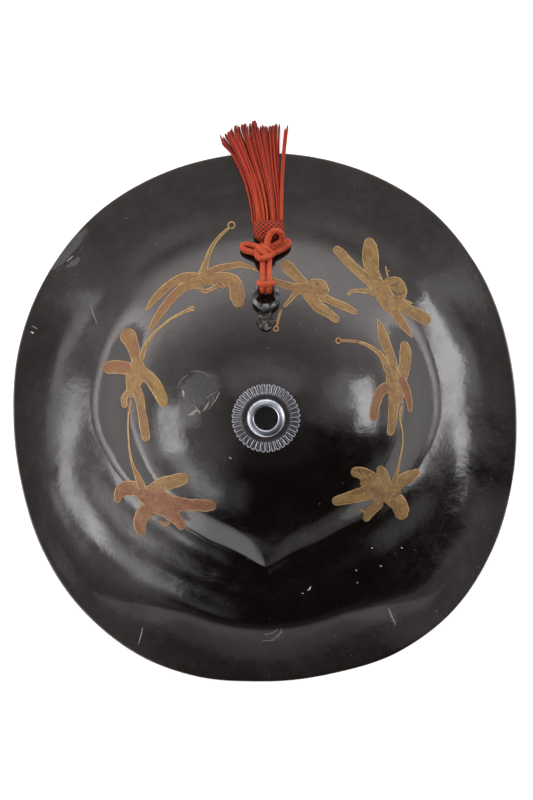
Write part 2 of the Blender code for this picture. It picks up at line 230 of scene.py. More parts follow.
PETALS = 40
PETAL_COLUMNS = 14
PETAL_ROOT, PETAL_ROUND, PETAL_END = 17.2, 23.28, 1.82
PLATE_THICK, PLATE_RISE = 1.5, 2.6
PLATE_TIP = 25.1
PLATE_RINGS = (9.9, 11.5, 13.2, 14.3, 14.9, 15.5, 16.1, 16.7)
PETAL_RINGS = 24
RIDGE_HIGH, RIDGE_IN, RIDGE_WIDE = 0.34, 0.52, 0.30
GROOVE_DEEP, GROOVE_WIDE = 0.40, 0.24
EYELET_OUTER, EYELET_HOLE, EYELET_NECK = 14.0, 8.3, 9.6
EYELET_EDGE, EYELET_RISE = 0.7, 3.2
EYELET_ROLL, ROLL_THICK = 12.0, 1.2
EYELET_STEPS = 96
GAP = 0.3

# The fittings at the back, as the part's source has them

LEAF_AT = 72.4
LEAF_THICK = 1.2
STAPLE_AT = 7.3
STAPLE_INNER, STAPLE_OUTER, STAPLE_WIDTH = 2.4, 3.5, 5.0
RING_RADIUS, RING_WIRE = 8.85, 1.65
RING_TILT = 22.0

# The cord: from inside the knot down to the ring, and then round the ring's far wire. A place is
# a distance back and a height over the lacquer, and on the ring a place from the wire's middle.

CORD = 4.3
STRAND_ACROSS = 2.35
Route = namedtuple("Route", "back over")
ROUTE = [
    Route(145.5, 6.0),
    Route(138.0, 5.0),
    Route(127.0, 3.2),
    Route(120.5, 3.5),
    Route(114.2, 4.0),
    Route(109.5, 4.2),
    Route(105.5, 5.0),
    Route(102.6, 6.6),
]
Turn = namedtuple("Turn", "across back up")
TURNS = [
    Turn(2.35, 4.7, -2.2),
    Turn(2.35, 3.6, 1.3),
    Turn(2.30, 1.6, 3.5),
    Turn(2.30, -1.0, 3.7),
    Turn(2.35, -3.2, 2.2),
    Turn(2.45, -3.9, -0.4),
    Turn(2.80, -2.7, -3.0),
    Turn(3.70, -0.4, -4.2),
    Turn(4.60, 1.4, -3.0),
    Turn(5.00, 2.0, 0.3),
    Turn(4.50, 1.5, 3.4),
    Turn(3.00, 0.9, 5.4),
    Turn(0.00, 0.6, 5.9),
]
CORD_SPACING = 0.45
CORD_SIDES = 20
PLAIT_TURNS, PLAIT_PITCH = 3, 6.0

# The knot: the middles of its turns by their pixels and their height over the lacquer

Bend3 = namedtuple("Bend3", "column row over")
KNOT_CORD = 4.7
KNOT_TURNS = [
    [
        Bend3(266.0, 249.5, 5.6),
        Bend3(257.0, 246.8, 5.4),
        Bend3(249.5, 244.9, 4.4),
        Bend3(244.0, 245.2, 3.6),
        Bend3(242.6, 248.0, 3.2),
        Bend3(245.4, 250.7, 3.4),
        Bend3(252.0, 252.4, 4.4),
        Bend3(261.0, 255.4, 5.2),
    ],
    [
        Bend3(262.0, 253.4, 5.0),
        Bend3(272.0, 253.4, 4.8),
        Bend3(280.4, 250.4, 4.0),
        Bend3(286.9, 246.2, 3.5),
        Bend3(288.6, 242.9, 3.4),
        Bend3(285.6, 241.4, 4.0),
        Bend3(279.4, 245.0, 6.2),
        Bend3(270.0, 249.4, 7.2),
        Bend3(262.0, 250.4, 6.2),
    ],
    [
        Bend3(267.0, 251.0, 7.2),
        Bend3(267.4, 243.5, 11.5),
        Bend3(269.2, 237.0, 15.0),
        Bend3(272.8, 232.9, 16.4),
        Bend3(278.0, 232.4, 15.6),
        Bend3(281.7, 236.0, 13.0),
        Bend3(280.7, 241.4, 10.0),
        Bend3(274.6, 245.6, 8.6),
        Bend3(266.0, 248.0, 7.6),
        Bend3(258.0, 251.4, 5.6),
    ],
    [
        Bend3(257.0, 250.4, 3.6),
        Bend3(256.9, 255.4, 5.0),
        Bend3(260.2, 258.8, 7.4),
        Bend3(265.6, 258.7, 8.2),
        Bend3(270.6, 256.0, 7.2),
        Bend3(273.0, 251.8, 4.6),
    ],
    [
        Bend3(258.2, 247.4, 5.8),
        Bend3(261.8, 250.8, 8.6),
        Bend3(265.4, 254.4, 9.0),
        Bend3(268.8, 258.8, 6.0),
    ],
    [
        Bend3(262.6, 246.2, 6.2),
        Bend3(266.4, 249.2, 9.2),
        Bend3(270.0, 252.4, 8.6),
        Bend3(273.4, 256.4, 4.8),
    ],
]

# The tassel: its netted head as slices laid over the lacquer, and its fan of strands by pixels

Slice = namedtuple("Slice", "along middle half height")
HEAD = [
    Slice(130.6, 1.8, 4.6, 6.0),
    Slice(131.4, 1.8, 7.6, 9.0),
    Slice(133.4, 1.9, 10.2, 11.8),
    Slice(137.0, 2.0, 11.6, 13.6),
    Slice(141.0, 2.0, 11.9, 14.0),
    Slice(144.4, 1.9, 11.5, 13.4),
    Slice(146.6, 1.7, 10.4, 11.6),
    Slice(147.2, 1.7, 7.6, 8.4),
]
HEAD_POINTS = 48
NET_ROUND, NET_LONG = 18, 3.2
CLEAR = 0.7
TIP_DROP = 16.0
Edge = namedtuple("Edge", "row left right height")
FAN = [
    Edge(228.0, 254.5, 280.5, 10.0),
    Edge(221.0, 252.6, 282.6, 11.6),
    Edge(214.0, 252.0, 282.4, 11.6),
    Edge(200.0, 249.6, 281.4, 11.0),
    Edge(185.0, 245.4, 280.2, 10.0),
    Edge(170.0, 239.6, 279.4, 8.8),
    Edge(155.0, 232.2, 279.0, 7.4),
    Edge(140.0, 224.4, 279.0, 6.0),
    Edge(128.0, 217.6, 279.6, 4.6),
]
Tip = namedtuple("Tip", "column row")
TIPS = [
    Tip(219.6, 133.7),
    Tip(221.7, 139.7),
    Tip(225.3, 130.9),
    Tip(229.7, 129.3),
    Tip(232.5, 126.9),
    Tip(235.3, 124.5),
    Tip(238.9, 124.5),
    Tip(241.8, 123.7),
    Tip(246.2, 121.2),
    Tip(251.4, 123.3),
    Tip(253.4, 119.2),
    Tip(255.8, 120.4),
    Tip(258.2, 126.5),
    Tip(262.7, 123.7),
    Tip(267.1, 123.3),
    Tip(269.9, 125.3),
    Tip(273.5, 123.7),
    Tip(275.9, 122.9),
    Tip(279.1, 122.9),
]
# Two strands stand apart at the right.
APART = [
    [Tip(281.6, 222.0), Tip(282.2, 200.0), Tip(282.8, 180.0), Tip(284.4, 155.0), Tip(286.4, 136.0), Tip(287.6, 124.9)],
    [Tip(280.4, 222.0), Tip(280.6, 200.0), Tip(281.4, 180.0), Tip(282.4, 160.0), Tip(283.8, 143.0), Tip(285.2, 128.4)],
]
STRANDS = 74
STRAND_WIDE = (1.15, 1.7)
STRAND_POINTS = 30
STRAND_SIDES = 7


# The gold blossoms. A lobe is a row of spots from its base to its tip, by their pixels and their
# width in pixels, and how coppery it is.

Spot = namedtuple("Spot", "column row wide")
Lobe = namedtuple("Lobe", "copper spots")
BEHIND_THE_BROW = [
    Lobe(0.1, [Spot(203.0, 274, 10), Spot(206.3, 261.4, 6.2), Spot(211.3, 248.2, 4.6), Spot(218.7, 237.4, 3.7), Spot(227.4, 229.2, 3.2)]),
    Lobe(0.5, [Spot(206, 276, 11), Spot(217.9, 268.9, 8.3), Spot(230.4, 266, 7), Spot(241, 264.8, 6.4), Spot(251, 267.7, 3.6), Spot(258.6, 272, 1.2)]),
    Lobe(0.4, [Spot(204, 280, 12.4), Spot(188.9, 277.2, 10.8), Spot(176.5, 280.5, 9), Spot(165.7, 288, 8.6), Spot(154.9, 298.7, 7.6), Spot(146.8, 309.2, 3.2)]),
    Lobe(0.5, [Spot(200, 283, 11), Spot(186.4, 285.5, 10), Spot(174.8, 294.6, 9.5), Spot(165.7, 305.4, 9), Spot(157.4, 317, 8), Spot(150.6, 328.2, 4.2)]),
    Lobe(0.3, [Spot(196, 280, 12), Spot(209, 278, 14), Spot(222, 280, 14), Spot(231, 280, 11)]),
    Lobe(0.3, [Spot(212, 277, 10), Spot(226.2, 277.4, 10.8), Spot(234, 281.3, 13), Spot(236.6, 289.6, 15), Spot(237.6, 297.4, 15.4), Spot(238.3, 301.6, 12)]),
    Lobe(0.2, [Spot(200.5, 289.8, 4), Spot(206, 291, 5), Spot(213, 288.2, 4.6), Spot(218, 285.4, 4.6)]),
    Lobe(0.9, [Spot(220, 284, 5), Spot(223.4, 287, 4)]),
]
LEFT_OF_MIDDLE = [
    Lobe(0.1, [Spot(141.4, 358.4, 6), Spot(146, 344.8, 4.3), Spot(156.3, 331, 3.2), Spot(170, 319.5, 3), Spot(183.8, 312, 3.4), Spot(190, 309.4, 4.6)]),
    Lobe(0.6, [Spot(136.2, 364.3, 8), Spot(134.5, 351.7, 12), Spot(131.2, 342.5, 14.4), Spot(128.6, 337.2, 17.6)]),
    Lobe(0.6, [Spot(136.8, 371.2, 14), Spot(125.3, 367.9, 13.4), Spot(115, 366.8, 13.6), Spot(109.2, 367.5, 13)]),
    Lobe(0.1, [Spot(131, 389.6, 7), Spot(124.6, 397.6, 7.2), Spot(124.6, 404.6, 6.4)]),
    Lobe(0.2, [Spot(134.5, 386, 11), Spot(139.6, 398.7, 10.5), Spot(141.4, 410.2, 8.8), Spot(143.7, 424, 9.6), Spot(146, 436.8, 9)]),
    Lobe(0.0, [Spot(139, 371, 14), Spot(149.4, 378, 13.2), Spot(156.3, 387.3, 13.4), Spot(161.6, 397.6, 12.2), Spot(163, 401.6, 10.4)]),
    Lobe(0.25, [Spot(136.2, 360, 9), Spot(136.8, 369, 19), Spot(134, 380, 18), Spot(130.4, 390, 9)]),
    Lobe(0.8, [Spot(131.4, 399, 3), Spot(130, 407, 3.2), Spot(129.6, 412, 2.4)]),
    Lobe(0.5, [Spot(128.7, 410.2, 2.2), Spot(128, 426.3, 2.2), Spot(129.3, 447, 2.4), Spot(132.2, 463, 3.2), Spot(136.6, 474, 6), Spot(141, 485, 9)]),
]
LEFT_FRONT = [
    Lobe(0.7, [Spot(146, 493, 13), Spot(134, 488.4, 15.4), Spot(124.9, 489, 15.6), Spot(119.4, 493.6, 11.6), Spot(117.8, 499, 7.4)]),
    Lobe(0.55, [Spot(152, 506, 20), Spot(142.4, 515.4, 15), Spot(139.8, 523.9, 14), Spot(140.6, 529.6, 11)]),
    Lobe(0.35, [Spot(154, 493, 20), Spot(163.1, 484.6, 15.6), Spot(172.3, 481.8, 13.6), Spot(180, 479.5, 14), Spot(183, 478.6, 12)]),
    Lobe(1.0, [Spot(166, 505, 24), Spot(178, 504.6, 17), Spot(186, 504.4, 13), Spot(196.8, 505, 12.2), Spot(207, 505.6, 12.6), Spot(210.6, 505.8, 11)]),
    Lobe(0.9, [Spot(168, 511, 15), Spot(177, 519.6, 12), Spot(181.4, 525.6, 9)]),
    Lobe(0.85, [Spot(145, 496, 16), Spot(153, 500, 23), Spot(162, 503, 25), Spot(171, 505, 20)]),
    Lobe(1.0, [Spot(159.5, 520, 3.4), Spot(164.5, 524.6, 4), Spot(168.5, 523, 3.4)]),
]
BY_THE_CORD = [
    Lobe(0.2, [Spot(304, 283.5, 10), Spot(296.3, 275.8, 11.2), Spot(290.2, 269.6, 13), Spot(286.2, 265.4, 11.4)]),
    Lobe(0.5, [Spot(299, 288.4, 9), Spot(285, 284.9, 8.2), Spot(276.2, 281.6, 7), Spot(272.6, 279.6, 5.4)]),
    Lobe(0.4, [Spot(296, 292, 7), Spot(291, 299, 4.8), Spot(284.8, 305.6, 3.8)]),
    Lobe(0.8, [Spot(281.2, 309.2, 2.4), Spot(278.6, 318, 3), Spot(277, 324.6, 2.6)]),
    Lobe(0.2, [Spot(315, 293, 9), Spot(332, 301.4, 8.4), Spot(345.4, 307, 8.2), Spot(354, 311.4, 6.4)]),
    Lobe(0.2, [Spot(308, 294, 12), Spot(318.2, 306.4, 12), Spot(327.5, 312.6, 10), Spot(335.4, 318.6, 8.6)]),
    Lobe(0.4, [Spot(295, 289, 10), Spot(303, 289, 13.6), Spot(312, 290, 16), Spot(319, 291, 13)]),
    Lobe(0.2, [Spot(313, 284, 11), Spot(320.4, 285.4, 13), Spot(325, 290, 9)]),
]
RIGHT_BACK = [
    Lobe(0.1, [Spot(377, 285, 15), Spot(372.4, 271.3, 14), Spot(370.5, 258, 17), Spot(370, 247.4, 15), Spot(369.4, 243.6, 12)]),
    Lobe(0.1, [Spot(374, 285, 12), Spot(361, 273.5, 10), Spot(349.8, 263.5, 10.4), Spot(341, 253.4, 10), Spot(337.4, 250.4, 9)]),
    Lobe(0.2, [Spot(376, 293, 8), Spot(363.2, 290.8, 5), Spot(353.2, 290.8, 4), Spot(348.6, 294, 3.4)]),
    Lobe(0.2, [Spot(394, 311, 10), Spot(401.2, 321.5, 9.4), Spot(406.7, 329.3, 7), Spot(411.4, 336, 3)]),
    Lobe(0.1, [Spot(396, 300, 10), Spot(408, 309.6, 11.6), Spot(418, 314.8, 12.8), Spot(425.2, 319.2, 12)]),
    Lobe(0.1, [Spot(376, 284, 16), Spot(383.3, 293.6, 18), Spot(391, 306, 15.4), Spot(396, 312, 9)]),
    Lobe(0.1, [Spot(388.6, 281.6, 9), Spot(396.4, 283.8, 14.4), Spot(401.6, 291.5, 12), Spot(402.6, 295.4, 8)]),
    Lobe(0.1, [Spot(388, 277.4, 2), Spot(386.2, 270, 2), Spot(385.8, 267, 2)]),
    Lobe(0.1, [Spot(386.6, 271.4, 1.6), Spot(389, 271, 1.4)]),
    Lobe(0.4, [Spot(400, 298.5, 2.4), Spot(407, 301, 2.4), Spot(411.6, 303.2, 2.2)]),
]
RIGHT_OF_MIDDLE = [
    Lobe(0.2, [Spot(394.4, 376, 12), Spot(392.6, 362.9, 10), Spot(388.4, 350.3, 9.6), Spot(383.6, 338, 11), Spot(381, 329, 8), Spot(378.4, 320.6, 3)]),
    Lobe(0.3, [Spot(400, 384, 12), Spot(404.6, 366, 12), Spot(405.4, 352.3, 12.4), Spot(404.6, 346, 9.6)]),
    Lobe(0.1, [Spot(388, 370, 8), Spot(380.3, 354.5, 5.6), Spot(368.6, 345.8, 4), Spot(358.4, 341.8, 3.2)]),
    Lobe(0.85, [Spot(358.4, 341.8, 3.2), Spot(349, 340.9, 3.4), Spot(342, 340.6, 3)]),
    Lobe(0.6, [Spot(392, 386.7, 12), Spot(382, 390, 11), Spot(376.4, 402, 9.8), Spot(374.2, 413.6, 9.4), Spot(374, 417, 8)]),
    Lobe(0.1, [Spot(395.4, 392, 14), Spot(393.7, 405, 11.4), Spot(392.3, 420.4, 9.8), Spot(390.4, 432, 7.6)]),
    Lobe(0.8, [Spot(402, 382, 11), Spot(407, 393, 9), Spot(409.6, 404, 6.6), Spot(409.8, 409.6, 4.8)]),
    Lobe(0.25, [Spot(391.6, 371, 13), Spot(396, 384, 20), Spot(397, 396, 14)]),
    Lobe(0.5, [Spot(402, 404, 2.4), Spot(400.6, 411, 3), Spot(399.6, 418, 2.6)]),
    Lobe(0.1, [Spot(399.3, 416.6, 2.4), Spot(402.4, 431.6, 2), Spot(402.4, 445.7, 2.2), Spot(399.3, 462.5, 2.8), Spot(396.8, 472.3, 4.4), Spot(394, 483, 7)]),
]
RIGHT_FRONT = [
    Lobe(0.15, [Spot(378, 484, 16), Spot(367.7, 476, 14), Spot(359.6, 472.6, 12.2), Spot(356, 472.2, 10.6)]),
    Lobe(0.1, [Spot(384, 485, 16), Spot(382.4, 474.7, 12.6), Spot(380.8, 470, 9)]),
    Lobe(0.1, [Spot(376, 491, 16), Spot(360.7, 494.6, 14.4), Spot(348, 498.1, 12), Spot(337, 500.8, 10)]),
    Lobe(0.2, [Spot(392, 489, 14), Spot(402.4, 480.3, 12.6), Spot(410.6, 476.3, 12.6), Spot(415.6, 473, 9)]),
    Lobe(0.2, [Spot(390, 497, 16), Spot(397.6, 502.4, 17), Spot(401, 509.6, 16.6), Spot(401.4, 512.6, 14)]),
    Lobe(0.15, [Spot(366, 483, 12), Spot(376, 487, 20), Spot(384, 490, 24), Spot(392, 492, 18)]),
    Lobe(0.3, [Spot(378, 504, 11), Spot(370, 512.4, 10), Spot(366.6, 517.6, 8)]),
    Lobe(0.6, [Spot(358.4, 510, 2.4), Spot(362, 510.4, 2.6), Spot(365, 512, 2.4)]),
]
BLOSSOMS = [
    BEHIND_THE_BROW,
    LEFT_OF_MIDDLE,
    LEFT_FRONT,
    BY_THE_CORD,
    RIGHT_BACK,
    RIGHT_OF_MIDDLE,
    RIGHT_FRONT,
]
# The cut ends of stems, as little rings, and dark lines cut into the gold.
Cut = namedtuple("Cut", "column row radius copper")
CUT_ENDS = [Cut(231.5, 225.2, 3.3, 0.1), Cut(275.9, 328.6, 2.4, 0.8), Cut(338.4, 340.7, 2.5, 0.8), Cut(191.8, 308.6, 2.2, 0.1)]
DARK_CUTS = [
    [Spot(392.4, 497.8, 1.0), Spot(400, 493, 1.4), Spot(408, 488.4, 1.0)],
    [Spot(391, 285.4, 1.2), Spot(396, 284.6, 1.8), Spot(399.4, 281.6, 1.0)],
    [Spot(397.6, 293.4, 1.0), Spot(401.6, 294, 1.6), Spot(404.6, 291.4, 1.0)],
    [Spot(315.4, 283.4, 1.2), Spot(318.6, 283.8, 1.6)],
    [Spot(323.6, 289.6, 1.0), Spot(327, 291.2, 1.4)],
    [Spot(204, 285.6, 1.4), Spot(205, 288.4, 1.6)],
    [Spot(216, 285, 1.2), Spot(217.6, 287, 1.2)],
    [Spot(358.6, 469.4, 0.8), Spot(362, 474.4, 1.0)],
]
STROKES = [
    Stroke(0.24, [Spot(188.6, 415.4, 1.2), Spot(193, 413.2, 3.4), Spot(197.6, 409.0, 1.6)]),
    Stroke(0.20, [Spot(196, 407.0, 0.8), Spot(198.6, 411.4, 2.6), Spot(200.6, 413.4, 1.0)]),
    Stroke(0.18, [Spot(203, 411, 1.0), Spot(206.6, 406.6, 2.8), Spot(209.2, 401.6, 1.0)]),
    Stroke(0.34, [Spot(182.6, 390.8, 1.4), Spot(183.5, 393.4, 2.2), Spot(183.6, 396, 0.8)]),
    Stroke(0.06, [Spot(178.6, 400, 1.2), Spot(180.4, 406, 4.2), Spot(182.2, 412, 1.6)]),
    Stroke(0.06, [Spot(184.6, 402, 0.8), Spot(186.0, 406.4, 2.0), Spot(186.4, 411, 0.8)]),
    Stroke(0.30, [Spot(212, 405.4, 0.5), Spot(216.4, 398.8, 0.8), Spot(219.4, 392, 0.5)]),
    Stroke(0.22, [Spot(206, 398.4, 0.4), Spot(212, 394.4, 0.6), Spot(217, 391.4, 0.4)]),
    Stroke(0.20, [Spot(209, 409.4, 0.4), Spot(212.4, 402.4, 0.6), Spot(213.4, 397, 0.4)]),
    Stroke(0.16, [Spot(177, 388.4, 0.4), Spot(182, 379.4, 0.7), Spot(188, 374.6, 0.5)]),
    Stroke(0.16, [Spot(190, 371.6, 0.4), Spot(200, 371.4, 0.7), Spot(210, 376.4, 0.4)]),
    Stroke(0.00, [Spot(82.6, 238.6, 1.6), Spot(85.6, 235, 3.6), Spot(88.4, 231.4, 1.8)]),
    Stroke(0.00, [Spot(78, 253.6, 0.8), Spot(82, 248.6, 2.0), Spot(85.4, 244, 0.8)]),
    Stroke(0.00, [Spot(57, 270.4, 0.8), Spot(60.6, 269, 2.4), Spot(65, 267.6, 0.9)]),
    Stroke(0.05, [Spot(68, 266.4, 3), Spot(74, 263, 6), Spot(78.6, 259, 4)]),
    Stroke(0.32, [Spot(67, 261.4, 0.7), Spot(70.4, 258.4, 1.2), Spot(73, 256, 0.6)]),
    Stroke(0.22, [Spot(91, 305, 0.5), Spot(93, 313, 0.8), Spot(96.6, 323, 0.6)]),
    Stroke(0.85, [Spot(31.4, 332, 1.3), Spot(33, 333, 1.3)]),
    Stroke(0.30, [Spot(32, 326, 0.6), Spot(37, 328.4, 0.7)]),
    Stroke(0.00, [Spot(50.6, 379.6, 1.7), Spot(51.6, 380.6, 1.7)]),
    Stroke(0.28, [Spot(138.4, 644, 0.6), Spot(140.8, 636, 1.1), Spot(142.6, 627.6, 0.6)]),
    Stroke(0.90, [Spot(307.6, 590.4, 0.7), Spot(309.6, 589, 1.3), Spot(310.8, 586.4, 0.7)]),
    Stroke(0.75, [Spot(302.4, 593.4, 1.0), Spot(303.4, 593.2, 0.8)]),
    Stroke(0.60, [Spot(356, 570.2, 1.0), Spot(356.8, 570.6, 0.8)]),
    Stroke(0.60, [Spot(380.4, 565.8, 1.2), Spot(381.6, 566.4, 1.0)]),
    Stroke(0.60, [Spot(371.6, 547.8, 1.0), Spot(372.6, 548.4, 0.8)]),
    Stroke(0.50, [Spot(401.4, 547.6, 1.0), Spot(402.6, 548.2, 0.8)]),
    Stroke(0.45, [Spot(356.6, 583, 0.8), Spot(357.8, 582.4, 1.0)]),
    Stroke(0.55, [Spot(255, 438.6, 0.9), Spot(255.8, 439.4, 0.9)]),
    Stroke(0.45, [Spot(229.6, 457.6, 1.2), Spot(231, 458.6, 1.2)]),
    # These two pale strokes along the front crease are painted highlight, not wear.
    Stroke(0.16, [Spot(262, 641, 0.6), Spot(272, 640, 1.0), Spot(280, 633.6, 1.4), Spot(281.4, 628, 0.6)]),
    Stroke(0.14, [Spot(264, 634.6, 0.6), Spot(272, 633, 1.0), Spot(278, 629, 0.6)]),
    Stroke(0.20, [Spot(388, 607.6, 0.7), Spot(391.6, 616, 2.0), Spot(395.4, 625, 0.8)]),
]
LOBE_STEP = 0.9
LOBE_ACROSS = 10
LEAF_OF_GOLD = 0.14
GOLD_SWELL = 0.10
GOLD_ORDER = 0.012
STROKE_HIGH = 0.03


# Shapes read from the tables


def hermite(x0, y0, slope0, x1, y1, slope1, x):
    """The cubic from (x0, y0) to (x1, y1) with the two slopes, at x."""
    span = x1 - x0
    t = (x - x0) / span
    lift = (1 + 2 * t) * (1 - t) ** 2 * y0 + t * t * (3 - 2 * t) * y1
    return lift + span * t * (1 - t) * ((1 - t) * slope0 - t * slope1)


def reading(table, azimuth, name, creased=False):
    """One column of a table as a smooth curve over an array of azimuths."""
    turns = np.array([row.azimuth for row in table], float)
    values = np.array([getattr(row, name) for row in table], float)
    steps = np.diff(values)
    slopes = np.zeros(len(values))
    through = (values[2:] - values[:-2]) / (turns[2:] - turns[:-2])
    slopes[1:-1] = np.where(steps[1:] * steps[:-1] <= 0, 0.0, through)
    if creased:
        slopes[0] = steps[0] / (turns[1] - turns[0])
    k = np.clip(np.searchsorted(turns, azimuth, "right") - 1, 0, len(turns) - 2)
    return hermite(turns[k], values[k], slopes[k], turns[k + 1], values[k + 1], slopes[k + 1], azimuth)


def fall(degrees):
    return -np.tan(np.radians(degrees))


def heel(shoulder, foot, crease):
    """(radius, height, slope) a little inside the foot, on one long curve or at a straight wall's end."""
    radius = foot[0] - HEEL
    before, soft, after = (hermite(*shoulder, *foot, radius + step) for step in (-0.5, 0, 0.5))
    height = soft + crease * (foot[1] + HEEL_DROP - soft)
    slope = after - before
    return radius, height, slope + crease * (fall(STEEP) - slope)


def stations(azimuth, side):
    """(radius, height, slope) where the crown ends, at the heel, foot, bend, flare and rim."""
    foot = [reading(FOOT, azimuth, c, creased=True) for c in ("radius", "height", "slope", "wall", "crease")]
    bend = [reading(BEND, azimuth, c) for c in ("radius", "height", "slope")]
    flare = [reading(FLARE, azimuth, c) for c in ("radius", "height", "slope")]
    rim = [reading(RIM, azimuth, c) for c in ("radius", "height", "slope", "lean")]
    edge = foot[0] - foot[3]
    drop = np.sqrt(CROWN_RADIUS**2 - edge**2)
    shoulder = (edge, CROWN_TOP - CROWN_RADIUS + drop, -edge / drop)
    base = (foot[0], foot[1], fall(foot[2]))
    return [
        shoulder,
        heel(shoulder, base, foot[4]),
        base,
        (bend[0], bend[1], fall(bend[2])),
        (flare[0], flare[1], fall(flare[2])),
        (rim[0] + side * rim[3], rim[1] + LIP, fall(rim[2])),
    ]


def unevenness(x, y, calm):
    """The body's soft waves, as a height. calm is the radius at which they have died away."""
    total = np.zeros(np.shape(x))
    flat = total.ravel()
    for i, (a, b) in enumerate(zip(np.ravel(x), np.ravel(y))):
        for k, wave in enumerate(WAVES):
            place = Vector((a / wave.span, b / wave.span, 7.3 * (k + 1)))
            flat[i] += wave.height * noise.noise(place)
    fade = np.clip((calm - np.hypot(x, y)) / CALM_RIM, 0, 1)
    return total * fade * fade * (3 - 2 * fade)


def plain_height(x, y):
    """The height of the outer face under points in plan, without the unevenness."""
    azimuth = np.degrees(np.arctan2(np.abs(x), -y))
    radius = np.hypot(x, y)
    marks = stations(azimuth, np.where(x < 0, 1, -1))
    inner = np.minimum(radius, marks[0][0])
    z = CROWN_TOP - CROWN_RADIUS + np.sqrt(CROWN_RADIUS**2 - inner**2)
    for near, far in zip(marks, marks[1:]):
        z = np.where(radius > near[0], hermite(*near, *far, np.minimum(radius, far[0])), z)
    return z, marks[-1][0]


def lacquer(x, y):
    """The height of the lacquer under points in plan."""
    x, y = np.asarray(x, float), np.asarray(y, float)
    z, rim = plain_height(x, y)
    return z + unevenness(x, y, rim - 1.0)


def seen(column, row):
    """Plan points on the lacquer that show at pixels of the photograph."""
    far_x = (np.asarray(column, float) - HAT_COLUMN) * PIXEL
    far_y = (HAT_ROW - np.asarray(row, float)) * PIXEL
    eye_x, eye_y = (VIEW_COLUMN - HAT_COLUMN) * PIXEL, (HAT_ROW - VIEW_ROW) * PIXEL
    x, y = far_x, far_y
    for _ in range(5):
        near = (CAMERA_HEIGHT - plain_height(x, y)[0]) / CAMERA_HEIGHT
        x, y = eye_x + (far_x - eye_x) * near, eye_y + (far_y - eye_y) * near
    return x, y


# Short ways to write shader nodes


class Nodes:
    """A node tree with a function for each kind of node that the materials use."""

    def __init__(self, tree):
        self.tree = tree

    def node(self, kind, **settings):
        made = self.tree.nodes.new(kind)
        for name, value in settings.items():
            setattr(made, name, value)
        return made

    def put(self, socket, value):
        if isinstance(value, bpy.types.NodeSocket):
            self.tree.links.new(value, socket)
        elif isinstance(value, tuple) and len(value) == 3 and socket.type == "RGBA":
            socket.default_value = (*value, 1.0)
        else:
            socket.default_value = value

    def math(self, operation, *values, clamp=False):
        made = self.node("ShaderNodeMath", operation=operation, use_clamp=clamp)
        for socket, value in zip(made.inputs, values):
            self.put(socket, value)
        return made.outputs[0]

    def span(self, value, low, high, start=0.0, end=1.0):
        """value from low to high, turned smoothly into start to end."""
        made = self.node("ShaderNodeMapRange", interpolation_type="SMOOTHSTEP")
        for name, given in zip(("Value", "From Min", "From Max", "To Min", "To Max"), (value, low, high, start, end)):
            self.put(made.inputs[name], given)
        return made.outputs["Result"]

    def mix(self, share, first, second):
        made = self.node("ShaderNodeMix", data_type="RGBA")
        for i, value in zip((0, 6, 7), (share, first, second)):
            self.put(made.inputs[i], value)
        return made.outputs[2]

    def blend(self, share, first, second):
        """The mix of two numbers."""
        made = self.node("ShaderNodeMix", data_type="FLOAT")
        for i, value in zip((0, 2, 3), (share, first, second)):
            self.put(made.inputs[i], value)
        return made.outputs[0]

    def place(self, kind="Object"):
        return self.node("ShaderNodeTexCoord").outputs[kind]

    def scaled(self, vector, scale, turn=0.0):
        """A place stretched by a scale for each axis, and turned about Z first."""
        made = self.node("ShaderNodeMapping")
        self.put(made.inputs["Vector"], vector)
        made.inputs["Rotation"].default_value = (0, 0, math.radians(turn))
        made.inputs["Scale"].default_value = scale
        return made.outputs[0]

    def noise(self, vector, scale, detail=2.0, roughness=0.5, distortion=0.0):
        made = self.node("ShaderNodeTexNoise")
        self.put(made.inputs["Vector"], vector)
        for name, value in (("Scale", scale), ("Detail", detail), ("Roughness", roughness), ("Distortion", distortion)):
            made.inputs[name].default_value = value
        return made.outputs["Fac"]

    def specks(self, vector, scale, spread=1.0):
        """The distance to the nearest of many scattered points."""
        made = self.node("ShaderNodeTexVoronoi")
        self.put(made.inputs["Vector"], vector)
        made.inputs["Scale"].default_value = scale
        made.inputs["Randomness"].default_value = spread
        return made.outputs["Distance"]

    def attribute(self, name, output="Fac"):
        return self.node("ShaderNodeAttribute", attribute_name=name).outputs[output]

    def bump(self, height, strength, distance, normal=None):
        made = self.node("ShaderNodeBump")
        self.put(made.inputs["Height"], height)
        made.inputs["Strength"].default_value = strength
        made.inputs["Distance"].default_value = distance
        if normal is not None:
            self.put(made.inputs["Normal"], normal)
        return made.outputs[0]


def material(name, **inputs):
    """A new material with its nodes and its Principled shader."""
    made = bpy.data.materials.new(name)
    made.use_nodes = True
    nodes = Nodes(made.node_tree)
    shader = made.node_tree.nodes["Principled BSDF"]
    for key, value in inputs.items():
        nodes.put(shader.inputs[key.replace("_", " ")], value)
    return made, nodes, shader


def mesh_object(name, points, faces, finish, sharp=None):
    """A smooth mesh object from points in millimetres."""
    mesh = bpy.data.meshes.new(name)
    mesh.from_pydata([tuple(p) for p in np.asarray(points, float) * MM], [], faces)
    mesh.shade_smooth()
    if sharp is not None:
        mesh.set_sharp_from_angle(angle=math.radians(sharp))
    for one in finish if isinstance(finish, (list, tuple)) else [finish]:
        mesh.materials.append(one)
    made = bpy.data.objects.new(name, mesh)
    bpy.context.scene.collection.objects.link(made)
    return made


def bridge(count, around, closed=False):
    """The faces between rings of points, one ring after another."""
    faces = []
    for i in range(count if closed else count - 1):
        a, b = i * around, (i + 1) % count * around
        for k in range(around):
            j = (k + 1) % around
            faces.append((a + k, b + k, b + j, a + j))
    return faces


